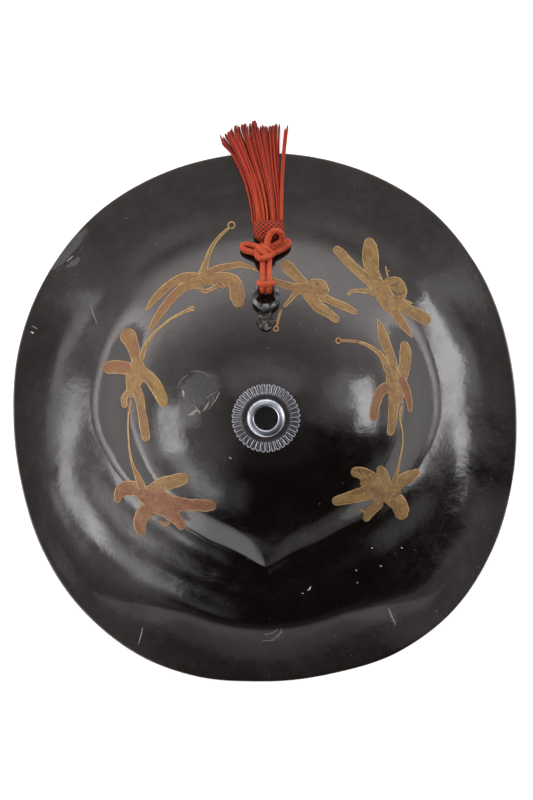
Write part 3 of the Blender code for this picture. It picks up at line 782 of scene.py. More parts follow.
def smooth_route(marks, spacing):
    """Points read from a smooth curve through the marks, about a spacing apart."""
    marks = np.asarray(marks, float)
    ends = np.vstack([2 * marks[0] - marks[1], marks, 2 * marks[-1] - marks[-2]])
    points = []
    for a, b, c, d in zip(ends, ends[1:], ends[2:], ends[3:]):
        count = max(2, round(float(np.linalg.norm(c - b)) / spacing))
        for i in range(count):
            t = i / count
            blend = (c - a) * t + (2 * a - 5 * b + 4 * c - d) * t**2 + (3 * b - a - 3 * c + d) * t**3
            points.append(b + blend / 2)
    return np.array(points + [marks[-1]])


def carried(route):
    """The two directions across a route, carried along it without a twist."""
    ahead = np.gradient(route, axis=0)
    ahead /= np.linalg.norm(ahead, axis=1)[:, None]
    side = np.cross(ahead[0], (0.0, 0.0, 1.0))
    if np.linalg.norm(side) < 0.1:
        side = np.cross(ahead[0], (1.0, 0.0, 0.0))
    sides = [side / np.linalg.norm(side)]
    for way in ahead[1:]:
        side = sides[-1] - way * np.dot(way, sides[-1])
        sides.append(side / np.linalg.norm(side))
    sides = np.array(sides)
    return sides, np.cross(sides, ahead)


class Pile:
    """Shapes gathered into one mesh, with a UV for each corner and a tone for each point."""

    def __init__(self):
        self.points, self.faces, self.uvs, self.tones = [], [], [], []

    def add(self, points, faces, uvs, tones):
        start = len(self.points)
        self.points.extend(points)
        self.faces.extend(tuple(start + i for i in face) for face in faces)
        for uv in uvs:
            self.uvs.extend(uv)
        self.tones.extend(tones)

    def tube(self, route, radii, around, tone=0.0):
        """A closed tube. Its UV is the share around it, and the length along it in millimetres."""
        count = len(route)
        radii = np.broadcast_to(radii, count)
        side, up = carried(route)
        turns = 2 * np.pi * np.arange(around) / around
        ring = side[:, None] * np.cos(turns)[None, :, None] + up[:, None] * np.sin(turns)[None, :, None]
        points = (route[:, None] + ring * radii[:, None, None]).reshape(-1, 3)
        steps = np.linalg.norm(np.diff(route, axis=0), axis=1)
        along = np.concatenate([[0], np.cumsum(steps)])
        faces, uvs = [], []
        for i in range(count - 1):
            a, b = i * around, (i + 1) * around
            for k in range(around):
                j = (k + 1) % around
                u, w = k / around, (k + 1) / around
                faces.append((a + k, b + k, b + j, a + j))
                uvs.append(((u, along[i]), (u, along[i + 1]), (w, along[i + 1]), (w, along[i])))
        last = (count - 1) * around
        faces.append(tuple(range(around)))
        faces.append(tuple(last + k for k in range(around))[::-1])
        uvs.append([(0, 0)] * around)
        uvs.append([(0, along[-1])] * around)
        tones = np.repeat(tone + np.zeros(count), around)
        self.add(points.tolist(), faces, uvs, tones.tolist())
        return along[-1]

    def make(self, name, finish, sharp=None):
        made = mesh_object(name, self.points, self.faces, finish, sharp)
        layer = made.data.uv_layers.new(name="UVMap")
        layer.data.foreach_set("uv", np.array(self.uvs, float).ravel())
        tones = made.data.attributes.new("tone", "FLOAT", "POINT")
        tones.data.foreach_set("value", np.array(self.tones, float))
        return made


# The studio


def make_camera():
    data = bpy.data.cameras.new("camera")
    camera = bpy.data.objects.new("camera", data)
    bpy.context.scene.collection.objects.link(camera)
    camera.location = (
        (VIEW_COLUMN - HAT_COLUMN) * PIXEL * MM,
        (HAT_ROW - VIEW_ROW) * PIXEL * MM,
        CAMERA_HEIGHT * MM,
    )
    data.sensor_width = SENSOR
    data.lens = SENSOR * CAMERA_HEIGHT / (VIEW_ROWS * PIXEL)
    data.clip_start, data.clip_end = 0.1, 100.0
    bpy.context.scene.camera = camera
    bpy.context.scene.view_settings.view_transform = "Standard"


def by_elevation(nodes, elevation, column):
    """One column of SKY as a smooth ramp over the elevation."""
    ramp = nodes.node("ShaderNodeValToRGB")
    ramp.color_ramp.interpolation = "EASE"
    elements = ramp.color_ramp.elements
    while len(elements) < len(SKY):
        elements.new(0.5)
    for element, level in zip(elements, SKY):
        element.position = (level.elevation + 90) / 180
        grey = getattr(level, column) / SKY_TOP
        element.color = (grey, grey, grey, 1)
    share = nodes.math("MULTIPLY_ADD", elevation, 1 / 180, 0.5)
    nodes.put(ramp.inputs["Fac"], share)
    return ramp.outputs["Color"]


def make_world():
    """Soft light by direction: dark in front, pale behind and at the sides, with softboxes."""
    world = bpy.data.worlds.new("studio")
    bpy.context.scene.world = world
    world.use_nodes = True
    nodes = Nodes(world.node_tree)
    background = world.node_tree.nodes["Background"]
    split = nodes.node("ShaderNodeSeparateXYZ")
    nodes.put(split.inputs[0], nodes.place("Generated"))
    x, y, z = split.outputs
    elevation = nodes.math("DEGREES", nodes.math("ARCSINE", z))
    azimuth = nodes.math("DEGREES", nodes.math("ARCTAN2", x, nodes.math("MULTIPLY", y, -1.0)))
    turned = nodes.math("ABSOLUTE", azimuth)
    aside = nodes.math(
        "ADD",
        nodes.span(azimuth, RIGHT_FULL, RIGHT_NONE),
        nodes.span(azimuth, LEFT_FULL, LEFT_NONE),
    )
    sky = nodes.mix(aside, by_elevation(nodes, elevation, "front"), by_elevation(nodes, elevation, "side"))
    sky = nodes.mix(nodes.span(turned, BACK_NONE, BACK_FULL), sky, by_elevation(nodes, elevation, "back"))
    total = ambient = nodes.math("MULTIPLY", sky, SKY_TOP)
    for box in SOFTBOXES:
        off = nodes.math("ABSOLUTE", nodes.math("SUBTRACT", azimuth, box.azimuth))
        over = nodes.math("ABSOLUTE", nodes.math("SUBTRACT", elevation, box.elevation))
        inside = nodes.math(
            "MULTIPLY",
            nodes.span(off, box.half_width + box.soft, box.half_width - box.soft),
            nodes.span(over, box.half_height + box.soft, box.half_height - box.soft),
        )
        total = nodes.math("MULTIPLY_ADD", inside, box.strength, total)
    share = nodes.math("DIVIDE", ambient, total)
    nodes.put(background.inputs["Color"], nodes.mix(share, BOX_TINT, SKY_TINT))
    nodes.put(background.inputs["Strength"], total)
    world.cycles.sampling_method = "MANUAL"
    world.cycles.sample_map_resolution = 1024


def make_stage():
    """A wide pale floor that glows as painted light away from the hat, and a pale dome that only the camera sees."""
    white = (FLOOR_WHITE, FLOOR_WHITE, FLOOR_WHITE)
    floor_paint, nodes, shader = material("floor", Base_Color=white, Roughness=0.9)
    shader.inputs["Emission Color"].default_value = (1, 1, 1, 1)
    shader.inputs["Specular IOR Level"].default_value = 0.0
    reach = nodes.node("ShaderNodeVectorMath", operation="LENGTH")
    nodes.put(reach.inputs[0], nodes.place())
    # Painted light: the floor glows from GLOW_FULL outward, with no glow within GLOW_NONE of the middle, so under the
    # hat it keeps its own shade.
    glow = nodes.span(reach.outputs["Value"], GLOW_NONE, GLOW_FULL, 0.0, FLOOR_GLOW)
    nodes.put(shader.inputs["Emission Strength"], glow)
    mesh = bpy.data.meshes.new("floor")
    form = bmesh.new()
    bmesh.ops.create_circle(form, cap_ends=True, segments=64, radius=STAGE_RADIUS * MM)
    form.to_mesh(mesh)
    form.free()
    mesh.materials.append(floor_paint)
    floor = bpy.data.objects.new("floor", mesh)
    bpy.context.scene.collection.objects.link(floor)
    dome_paint = bpy.data.materials.new("backdrop")
    dome_paint.use_nodes = True
    tree = dome_paint.node_tree
    glow = tree.nodes.new("ShaderNodeEmission")
    glow.inputs["Color"].default_value = (0.9, 0.9, 0.9, 1)
    tree.links.new(glow.outputs[0], tree.nodes["Material Output"].inputs["Surface"])
    mesh = bpy.data.meshes.new("backdrop")
    form = bmesh.new()
    bmesh.ops.create_uvsphere(form, u_segments=48, v_segments=24, radius=STAGE_RADIUS * MM)
    form.to_mesh(mesh)
    form.free()
    mesh.materials.append(dome_paint)
    dome = bpy.data.objects.new("backdrop", mesh)
    bpy.context.scene.collection.objects.link(dome)
    for way in ("diffuse", "glossy", "transmission", "volume_scatter", "shadow"):
        setattr(dome, "visible_" + way, False)
    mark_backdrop(floor, dome)


# The shell


def worn_and_highlit_patches(nodes, place):
    """How far the lacquer is greyed: ragged patches where it is scuffed or chipped, and one on the front crease that is
    a painted highlight.
    """
    ragged = nodes.math("MULTIPLY", nodes.noise(place, 260.0, 4.0, 0.7), 0.9)
    total = 0.0
    for patch in PATCHES:
        x, y = seen(patch.column, patch.row)
        moved = nodes.node("ShaderNodeMapping", vector_type="TEXTURE")
        nodes.put(moved.inputs["Vector"], place)
        middle = Vector((float(x), float(y), float(lacquer(x, y)))) * MM
        moved.inputs["Location"].default_value = middle
        moved.inputs["Rotation"].default_value = (0, 0, math.radians(patch.turn))
        half_x, half_y = patch.wide * PIXEL * MM / 2, patch.high * PIXEL * MM / 2
        moved.inputs["Scale"].default_value = (half_x, half_y, max(half_x, half_y))
        reach = nodes.node("ShaderNodeVectorMath", operation="LENGTH")
        nodes.put(reach.inputs[0], moved.outputs[0])
        far = nodes.math("ADD", reach.outputs["Value"], ragged)
        total = nodes.math("MAXIMUM", nodes.span(far, 1.5, 1.15, 0.0, patch.bare), total)
    return total


def lacquer_material():
    """Old black lacquer: a glossy skin, unevenly worn, with fine scratches, dust and flecks, greyer away from the
    front, and a painted highlight on the front crease.
    """
    made, nodes, shader = material("black_lacquer", IOR=1.5)
    place = nodes.place()
    cloud = nodes.noise(place, 14.0, 4.0, 0.6)
    mottle = nodes.span(nodes.noise(place, 60.0, 6.0, 0.68, 0.4), 0.40, 0.66)
    grain = nodes.noise(place, 420.0, 3.0, 0.6)
    streak = nodes.noise(nodes.scaled(place, (60.0, 900.0, 300.0), 12.0), 1.0, 2.0, 0.5)
    dust = nodes.math(
        "MULTIPLY",
        nodes.span(nodes.noise(place, 900.0, 2.0), 0.55, 0.78),
        nodes.span(cloud, 0.35, 0.70),
    )
    fleck = nodes.span(nodes.specks(place, 120.0), 0.060, 0.035)
    fleck = nodes.math("MULTIPLY", fleck, nodes.span(nodes.noise(place, 33.0), 0.42, 0.62, 0.0, 0.55))
    bare = worn_and_highlit_patches(nodes, place)
    dirt = nodes.math("MULTIPLY_ADD", dust, 0.045, fleck)
    # Greyer in mottled patches the further a point is from the front of the crown.
    darkest_reach = nodes.node("ShaderNodeVectorMath", operation="DISTANCE")
    nodes.put(darkest_reach.inputs[0], place)
    darkest_reach.inputs[1].default_value = Vector(DARKEST_SPOT) * MM
    greyer = nodes.span(darkest_reach.outputs["Value"], DARKEST_FULL * MM, DARKEST_NONE * MM)
    greyer = nodes.math("MULTIPLY", greyer, nodes.span(nodes.noise(place, 85.0, 7.0, 0.72), 0.38, 0.70))
    shade = nodes.mix(greyer, (0.0030, 0.0019, 0.0017), (0.0105, 0.0078, 0.0074))
    shade = nodes.mix(dirt, shade, (0.24, 0.22, 0.20))
    # Scuffed and chipped patches grey the lacquer here; the one on the front crease is a painted highlight.
    scuffed_and_highlit = nodes.mix(grain, (0.006, 0.007, 0.007), (0.050, 0.052, 0.052))
    shade = nodes.mix(bare, shade, scuffed_and_highlit)
    rubbed = nodes.span(nodes.noise(place, 70.0, 5.0, 0.7), 0.40, 0.62, 0.15, 0.9)
    rubbed = nodes.math("MULTIPLY", rubbed, nodes.span(nodes.attribute("lip"), 0.3, 1.0))
    nodes.put(shader.inputs["Base Color"], nodes.mix(rubbed, shade, (0.15, 0.125, 0.10)))
    rough = nodes.math("MULTIPLY_ADD", mottle, 0.10, nodes.math("MULTIPLY_ADD", cloud, 0.14, 0.0))
    rough = nodes.math("MULTIPLY_ADD", dust, 0.15, rough)
    rough = nodes.math("MULTIPLY_ADD", streak, 0.05, rough)
    rough = nodes.math("MULTIPLY_ADD", bare, 0.42, rough)
    nodes.put(shader.inputs["Roughness"], nodes.math("MULTIPLY_ADD", rubbed, 0.4, rough))
    ripple = nodes.noise(place, 75.0, 3.0, 0.55)
    soft = nodes.bump(ripple, 0.30, 0.0007)
    height = nodes.math("MULTIPLY_ADD", streak, 0.35, grain)
    fine = nodes.bump(height, 0.2, 0.00003, soft)
    crumbs = nodes.noise(place, 500.0, 4.0, 0.7, 1.0)
    broken = nodes.bump(nodes.math("MULTIPLY", crumbs, bare), 0.8, 0.0006, fine)
    nodes.put(shader.inputs["Normal"], broken)
    return made


def underside_material():
    made, nodes, shader = material("underside_lacquer", IOR=1.5)
    place = nodes.place()
    cloud = nodes.noise(place, 22.0, 5.0, 0.6)
    shade = nodes.mix(cloud, (0.006, 0.004, 0.0035), (0.018, 0.013, 0.011))
    nodes.put(shader.inputs["Base Color"], shade)
    nodes.put(shader.inputs["Roughness"], nodes.math("MULTIPLY_ADD", cloud, 0.25, 0.3))
    nodes.put(shader.inputs["Normal"], nodes.bump(nodes.noise(place, 160.0, 3.0), 0.3, 0.0002))
    return made


def make_shell():
    """The body in one piece: its outer face, rounded lip and plain underside, ring by ring."""
    turn = 2 * np.pi * np.arange(SHELL_COLUMNS) / SHELL_COLUMNS
    azimuth = np.degrees(np.where(turn <= np.pi, turn, 2 * np.pi - turn))
    marks = stations(azimuth, np.where(turn <= np.pi, -1, 1))
    edges = [np.full(SHELL_COLUMNS, CROWN_HOLE)] + [mark[0] for mark in marks]
    rim = edges[-1]
    edges[-1] = rim - LIP_ROUND
    lines = []

    def across(counts, shares):
        for part, count in enumerate(counts):
            for i in range(count):
                share = shares(i / count)
                yield edges[part] + share * (edges[part + 1] - edges[part])

    def plan(radius):
        return radius * np.sin(turn), -radius * np.cos(turn)

    for radius in list(across(OUTER_RINGS, lambda s: s)) + [edges[-1]]:
        x, y = plan(radius)
        lines.append((x, y, lacquer(x, y)))
    outer = len(lines)
    top = lines[-1][2]
    for i in range(1, LIP_STEPS + 1):
        a = math.pi / 2 * i / LIP_STEPS
        radius = edges[-1] + LIP_ROUND * math.sin(a)
        lines.append((*plan(radius), top - LIP_ROUND * (1 - math.cos(a))))
    low = marks[-1][1] - LIP
    lines.append((*plan(rim), low + 0.4))
    lines.append((*plan(rim - 0.4), low))
    lines.append((*plan(rim - WALL + 0.4), low))
    lines.append((*plan(rim - WALL), low + 0.4))
    lip_end = len(lines)
    edges[-1] = rim - WALL
    for radius in (list(across(INNER_RINGS, lambda s: s)) + [edges[-1]])[::-1]:
        x, y = plan(radius)
        step = 0.5
        here = plain_height(x, y)[0]
        further = plain_height(*plan(radius + step))[0]
        slope = (further - here) / step
        lines.append((x, y, here - WALL * np.sqrt(1 + slope**2)))
    points = np.concatenate([np.stack(line, 1) for line in lines])
    at_lip = np.zeros(len(lines))
    at_lip[outer + 1 : lip_end] = 1.0
    faces = bridge(len(lines), SHELL_COLUMNS, closed=True)
    shell = mesh_object("lacquered_shell", points, faces, [lacquer_material(), underside_material()], 50)
    kinds = np.zeros(len(faces), np.int32)
    kinds[lip_end * SHELL_COLUMNS :] = 1
    kinds[(len(lines) - 1) * SHELL_COLUMNS :] = 0
    shell.data.polygons.foreach_set("material_index", kinds)
    layer = shell.data.attributes.new("lip", "FLOAT", "POINT")
    layer.data.foreach_set("value", np.repeat(at_lip, SHELL_COLUMNS))
    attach(shell, "root")
    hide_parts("shell")
    return shell


# The crown's ornament


def crown(radius):
    return CROWN_TOP - CROWN_RADIUS + np.sqrt(CROWN_RADIUS**2 - np.asarray(radius, float) ** 2)


def steel_material():
    """Cool grey metal, bright on the raised lines and dark with age in the hollows."""
    made, nodes, shader = material("petal_steel", Metallic=0.9)
    place = nodes.place()
    cloud = nodes.noise(place, 160.0, 4.0, 0.6)
    tone = nodes.attribute("tone")
    high = nodes.span(nodes.math("MULTIPLY_ADD", cloud, 0.35, tone), 0.35, 1.15)
    shade = nodes.mix(high, (0.040, 0.038, 0.041), (0.25, 0.265, 0.30))
    rust = nodes.math("MULTIPLY", nodes.span(cloud, 0.52, 0.72), nodes.span(tone, 0.3, 0.0))
    shade = nodes.mix(nodes.math("MULTIPLY", rust, 0.7), shade, (0.105, 0.062, 0.042))
    nodes.put(shader.inputs["Base Color"], shade)
    nodes.put(shader.inputs["Roughness"], nodes.blend(high, 0.52, 0.33))
    height = nodes.noise(place, 900.0, 3.0)
    nodes.put(shader.inputs["Normal"], nodes.bump(height, 0.25, 0.00008))
    return made


def make_crown_plate():
    """The plate's rings, turned round with 40 petals: a raised U on each, a hollow within it."""
    around = PETALS * PETAL_COLUMNS
    k = np.arange(around)
    turn = 2 * np.pi * k / around
    across = 2 * ((k / PETAL_COLUMNS) % 1) - 1
    ends = PETAL_ROUND + PETAL_END * np.sqrt(np.clip(1 - across**2, 0, 1))
    radii = [np.full(around, r) for r in PLATE_RINGS]
    for i in range(PETAL_RINGS + 1):
        share = (i / PETAL_RINGS) ** 0.8
        radii.append(PETAL_ROOT + share * (ends - PETAL_ROOT))
    points, tones = [], []
    for r in radii:
        half = np.pi * r / PETALS
        aside = np.abs(across) * half
        sides = half - aside
        round_end = PETAL_END - np.hypot(aside, r - PETAL_ROUND)
        inward = np.where(r > PETAL_ROUND, np.minimum(round_end, sides), sides)
        inward = np.maximum(inward, 0)
        petal = np.clip((r - PETAL_ROOT + 0.6) / 1.4, 0, 1)
        ridge = np.exp(-(((inward - RIDGE_IN) / RIDGE_WIDE) ** 2)) * petal
        groove = np.exp(-((inward / GROOVE_WIDE) ** 2)) * petal
        dip = 0.45 * np.clip((16.2 - r) / 1.2, 0, 1)
        share = np.clip((PLATE_TIP - r) / (PLATE_TIP - EYELET_OUTER), 0, 1)
        top = crown(r) + GAP + PLATE_THICK + (PLATE_RISE - PLATE_THICK) * np.sqrt(share) - 0.25
        z = top + RIDGE_HIGH * ridge - GROOVE_DEEP * groove - dip
        points.append(np.stack([r * np.sin(turn), -r * np.cos(turn), z], 1))
        tip = np.clip((r - PETAL_ROUND) / 1.2, 0, 1)
        tones.append(np.clip(0.7 * ridge - 0.35 * groove + 0.34 * petal + 0.35 * tip, 0, 1))
    base = crown(ends) + GAP
    for r, z in ((ends, base + 0.5), (ends - 0.15, base), (np.full(around, PLATE_RINGS[0]), None)):
        z = crown(r) + GAP if z is None else z
        points.append(np.stack([r * np.sin(turn), -r * np.cos(turn), z], 1))
        tones.append(np.zeros(around))
    faces = bridge(len(points), around, closed=True)
    plate = mesh_object("petal_plate", np.concatenate(points), faces, steel_material(), 60)
    layer = plate.data.attributes.new("tone", "FLOAT", "POINT")
    layer.data.foreach_set("value", np.concatenate(tones))
    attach(plate, "root")
    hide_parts("crown_plate")


def polished_material():
    made, nodes, shader = material("eyelet_steel", Metallic=1.0)
    place = nodes.place()
    cloud = nodes.noise(place, 120.0, 4.0, 0.6)
    fine = nodes.noise(place, 1500.0, 2.0)
    shade = nodes.mix(nodes.span(cloud, 0.35, 0.7), (0.42, 0.46, 0.52), (0.20, 0.215, 0.24))
    nodes.put(shader.inputs["Base Color"], shade)
    rough = nodes.math("MULTIPLY_ADD", cloud, 0.26, 0.13)
    nodes.put(shader.inputs["Roughness"], nodes.math("MULTIPLY_ADD", fine, 0.08, rough))
    nodes.put(shader.inputs["Normal"], nodes.bump(fine, 0.15, 0.00003))
    return made


def make_eyelet():
    """The polished ring, its neck and the roll below, turned from a fine profile."""
    seat = float(crown(EYELET_OUTER)) + GAP + PLATE_RISE + GAP
    under = float(crown(EYELET_ROLL)) - WALL - 3 * GAP
    peak = EYELET_HOLE + 0.27 * (EYELET_OUTER - EYELET_HOLE)
    line = [(EYELET_HOLE + 0.3, under - ROLL_THICK), (EYELET_HOLE, under - ROLL_THICK + 0.3)]
    depth = seat + EYELET_EDGE - under
    for i in range(22):
        groove = 0.06 * (i % 2) if i > 13 else 0.0
        line.append((EYELET_HOLE + groove, under + depth * i / 22))
    for i in range(41):
        a = math.pi * i / 40
        rise = math.sin(a) ** 0.82
        reach = peak - EYELET_HOLE if i < 20 else EYELET_OUTER - peak
        line.append((peak - reach * math.cos(a), seat + EYELET_EDGE + EYELET_RISE * rise))
    line += [
        (EYELET_OUTER - 0.05, seat + 0.25),
        (EYELET_OUTER - 0.35, seat),
        (EYELET_NECK, seat + GAP / 2),
        (EYELET_NECK, under),
        (EYELET_ROLL - 0.3, under),
        (EYELET_ROLL, under - 0.3),
        (EYELET_ROLL, under - ROLL_THICK + 0.3),
        (EYELET_ROLL - 0.3, under - ROLL_THICK),
    ]
    turn = 2 * np.pi * np.arange(EYELET_STEPS) / EYELET_STEPS
    points = [(r * math.sin(a), -r * math.cos(a), z) for r, z in line[::-1] for a in turn]
    faces = bridge(len(line), EYELET_STEPS, closed=True)
    eyelet = mesh_object("crown_ring", points, faces, polished_material(), 40)
    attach(eyelet, "root")
    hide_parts("crown_eyelet")


# The fittings at the back


def iron_material(name, dark, light):
    """Old forged iron, dark with a worn grey bloom."""
    made, nodes, shader = material(name, Metallic=0.85)
    place = nodes.place()
    cloud = nodes.noise(place, 240.0, 5.0, 0.65)
    worn = nodes.span(cloud, 0.42, 0.68)
    nodes.put(shader.inputs["Base Color"], nodes.mix(worn, dark, light))
    nodes.put(shader.inputs["Roughness"], nodes.blend(worn, 0.58, 0.34))
    pits = nodes.noise(place, 700.0, 4.0, 0.6)
    nodes.put(shader.inputs["Normal"], nodes.bump(pits, 0.45, 0.00018))
    return made


def slope_frame():
    """The leaf's seat on the crown, and the frame of the slope there."""
    drop = math.sqrt(CROWN_RADIUS**2 - LEAF_AT**2)
    seat = Vector((0, LEAF_AT, CROWN_TOP - CROWN_RADIUS + drop))
    return seat, Matrix.Rotation(-math.atan(LEAF_AT / drop), 3, "X")


def ring_frame():
    """The ring's middle, and its frame: X across, Y outward over the cord and Z out of its plane."""
    seat, slope = slope_frame()
    near = seat + slope @ Vector((0, STAPLE_AT, 2 * GAP + LEAF_THICK + RING_WIRE))
    tilt = Matrix.Rotation(-math.radians(RING_TILT), 3, "X")
    return near + tilt @ Vector((0, RING_RADIUS, 0)), tilt


def make_ring():
    """A hand-forged ring, a little uneven in its wire."""
    middle, tilt = ring_frame()
    major, minor = 96, 20
    points = []
    for i in range(major):
        turn = 2 * math.pi * i / major
        out = Vector((math.sin(turn), -math.cos(turn), 0))
        wire = RING_WIRE * (1 + 0.035 * math.sin(3 * turn + 1) + 0.02 * math.sin(7 * turn))
        for k in range(minor):
            a = 2 * math.pi * k / minor
            place = out * (RING_RADIUS + wire * math.cos(a)) + Vector((0, 0, wire * math.sin(a)))
            points.append(middle + tilt @ place)
    iron = iron_material("ring_iron", (0.035, 0.036, 0.038), (0.20, 0.205, 0.215))
    ring = mesh_object("tassel_ring", points, bridge(major, minor, closed=True), iron)
    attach(ring, "root")
    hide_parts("ring")


def make_staple():
    """The strap over the ring's wire: a bent strip with rounded edges."""
    seat, slope = slope_frame()
    start = seat + slope @ Vector((0, STAPLE_AT, 0))
    foot = 2 * GAP + LEAF_THICK
    axis = foot + RING_WIRE
    steps = 24
    line = [(0.0, foot)] + [(math.pi * i / steps, None) for i in range(steps + 1)] + [(math.pi, foot)]
    middle = (STAPLE_INNER + STAPLE_OUTER) / 2
    thick = (STAPLE_OUTER - STAPLE_INNER) / 2
    edge = 14
    points = []
    for turn, low in line:
        out = Vector((0, math.cos(turn), math.sin(turn)))
        centre = Vector((0, middle * math.cos(turn), low if low is not None else axis + middle * math.sin(turn)))
        for k in range(edge):
            a = 2 * math.pi * k / edge
            wide = STAPLE_WIDTH / 2 * math.copysign(abs(math.cos(a)) ** 0.5, math.cos(a))
            deep = thick * math.copysign(abs(math.sin(a)) ** 0.6, math.sin(a))
            points.append(start + slope @ (centre + Vector((wide, 0, 0)) + out * deep))
    faces = bridge(len(line), edge)
    last = (len(line) - 1) * edge
    faces += [tuple(range(edge))[::-1], tuple(last + k for k in range(edge))]
    faces = [face[::-1] for face in faces]
    iron = iron_material("staple_iron", (0.03, 0.03, 0.03), (0.17, 0.17, 0.175))
    staple = mesh_object("ring_strap", points, faces, iron, 50)
    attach(staple, "root")
    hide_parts("ring_staple")


def finish_leaf():
    """The leaf keeps its CAD shape, and gets worn iron engraved with small scrolls."""
    iron, nodes, shader = material("leaf_iron", Metallic=0.8)
    place = nodes.place()
    seat, _ = slope_frame()
    split = nodes.node("ShaderNodeSeparateXYZ")
    nodes.put(split.inputs[0], place)
    x = nodes.math("MULTIPLY", split.outputs[0], 1000.0)
    y = nodes.math("MULTIPLY_ADD", split.outputs[1], 1000.0, -seat.y)
    side = nodes.math("ABSOLUTE", x)
    off_x = nodes.math("SUBTRACT", side, 2.9)
    off_y = nodes.math("SUBTRACT", nodes.math("ABSOLUTE", nodes.math("ADD", y, 3.2)), 3.3)
    far = nodes.math("SQRT", nodes.math("ADD", nodes.math("POWER", off_x, 2.0), nodes.math("POWER", off_y, 2.0)))
    turn = nodes.math("ARCTAN2", off_y, off_x)
    curl = nodes.math("SINE", nodes.math("MULTIPLY_ADD", far, 4.2, turn))
    cut = nodes.span(curl, 0.35, 0.9)
    cut = nodes.math("MULTIPLY", cut, nodes.span(far, 2.6, 2.1))
    worn = nodes.span(nodes.noise(place, 300.0, 5.0, 0.65), 0.44, 0.66)
    shade = nodes.mix(worn, (0.016, 0.014, 0.014), (0.13, 0.125, 0.12))
    shade = nodes.mix(nodes.math("MULTIPLY", cut, 0.8), shade, (0.008, 0.006, 0.006))
    nodes.put(shader.inputs["Base Color"], shade)
    nodes.put(shader.inputs["Roughness"], nodes.blend(worn, 0.6, 0.4))
    height = nodes.math("SUBTRACT", nodes.math("MULTIPLY", nodes.noise(place, 800.0, 3.0), 0.4), cut)
    nodes.put(shader.inputs["Normal"], nodes.bump(height, 0.6, 0.0003))
    leaf = bpy.data.objects["base_plate"]
    for slot in leaf.material_slots:
        slot.material = iron


# The cord, the knot and the tassel


def plaited(nodes, turns, pitch):
    """A plait's relief from a tube's UV."""
    split = nodes.node("ShaderNodeSeparateXYZ")
    nodes.put(split.inputs[0], nodes.place("UV"))
    a = nodes.math("MULTIPLY", split.outputs[0], 2 * math.pi * turns)
    b = nodes.math("MULTIPLY", split.outputs[1], 2 * math.pi / pitch)
    one = nodes.math("SINE", nodes.math("ADD", a, b))
    other = nodes.math("SINE", nodes.math("SUBTRACT", a, b))
    return nodes.math("MULTIPLY", one, other)


def silk_material(name, dark, light, pitch):
    """Plaited silk with a soft sheen; its colour follows the plait relief, darker between the plaits as painted shade.
    """
    made, nodes, shader = material(name, Sheen_Weight=0.03, Sheen_Roughness=0.4, Specular_IOR_Level=0.2)
    place = nodes.place()
    relief = plaited(nodes, PLAIT_TURNS, pitch)
    patch = nodes.noise(place, 120.0, 3.0, 0.6)
    fibre = nodes.noise(place, 2200.0, 2.0, 0.6)
    # The plait relief in the colour is painted shade between the plaits.
    tone = nodes.math("MULTIPLY_ADD", relief, 0.10, patch)
    tone = nodes.math("MULTIPLY_ADD", fibre, 0.35, tone)
    nodes.put(shader.inputs["Base Color"], nodes.mix(nodes.span(tone, 0.30, 0.95), dark, light))
    shader.inputs["Sheen Tint"].default_value = (1.0, 0.55, 0.42, 1)
    shader.inputs["Roughness"].default_value = 0.62
    height = nodes.math("MULTIPLY_ADD", fibre, 0.5, relief)
    nodes.put(shader.inputs["Normal"], nodes.bump(height, 0.5, 0.00015))
    return made


def tie_marks():
    """The cord's middle: a strand to the ring, its turn round the wire, the bar, and back again."""
    strand = []
    for mark in ROUTE:
        height = float(lacquer(STRAND_ACROSS, mark.back)) + mark.over
        strand.append((STRAND_ACROSS, mark.back, height))
    middle, tilt = ring_frame()
    wire = middle + tilt @ Vector((0, RING_RADIUS, 0))
    half = strand + [(mark.across, wire.y + mark.back, wire.z + mark.up) for mark in TURNS]
    return half + [(-x, y, z) for x, y, z in half[-2::-1]]


def placed(marks):
    """Pixels with heights over the lacquer, as places."""
    x, y = seen([mark.column for mark in marks], [mark.row for mark in marks])
    z = lacquer(x, y) + np.array([mark.over for mark in marks])
    return np.stack([x, y, z], 1)


def make_knot(silk):
    pile = Pile()
    for turns in KNOT_TURNS:
        pile.tube(smooth_route(placed(turns), 0.6), KNOT_CORD / 2, CORD_SIDES)
    knot = pile.make("looped_knot", silk)
    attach(knot, "root")
    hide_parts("knot")
    return knot


def ground(x, y):
    """The height of the lacquer, and of the floor a little way outside the rim."""
    x, y = np.asarray(x, float), np.asarray(y, float)
    z, rim = plain_height(x, y)
    past = np.clip((np.hypot(x, y) - rim) / TIP_DROP, 0, 1)
    return z * (1 - past) + unevenness(x, y, rim - 1.0)


def net_material():
    """The knotted net over the tassel's head: small diamonds of fine cord."""
    made, nodes, shader = material("red_silk_net", Sheen_Weight=0.02, Sheen_Roughness=0.4, Specular_IOR_Level=0.15)
    split = nodes.node("ShaderNodeSeparateXYZ")
    nodes.put(split.inputs[0], nodes.place("UV"))
    a = nodes.math("MULTIPLY", split.outputs[0], math.pi * NET_ROUND)
    b = nodes.math("MULTIPLY", split.outputs[1], math.pi / NET_LONG)
    one = nodes.math("ABSOLUTE", nodes.math("SINE", nodes.math("ADD", a, b)))
    other = nodes.math("ABSOLUTE", nodes.math("SINE", nodes.math("SUBTRACT", a, b)))
    cell = nodes.math("MINIMUM", one, other)
    cord = nodes.span(cell, 0.55, 0.15)
    patch = nodes.noise(nodes.place(), 300.0, 3.0, 0.6)
    tone = nodes.math("MULTIPLY_ADD", patch, 0.5, nodes.math("MULTIPLY", cord, 0.65))
    nodes.put(shader.inputs["Base Color"], nodes.mix(nodes.span(tone, 0.2, 0.85), (0.045, 0.0025, 0.0010), (0.34, 0.036, 0.009)))
    shader.inputs["Sheen Tint"].default_value = (1.0, 0.55, 0.42, 1)
    shader.inputs["Roughness"].default_value = 0.6
    nodes.put(shader.inputs["Normal"], nodes.bump(cord, 0.9, 0.0004))
    return made


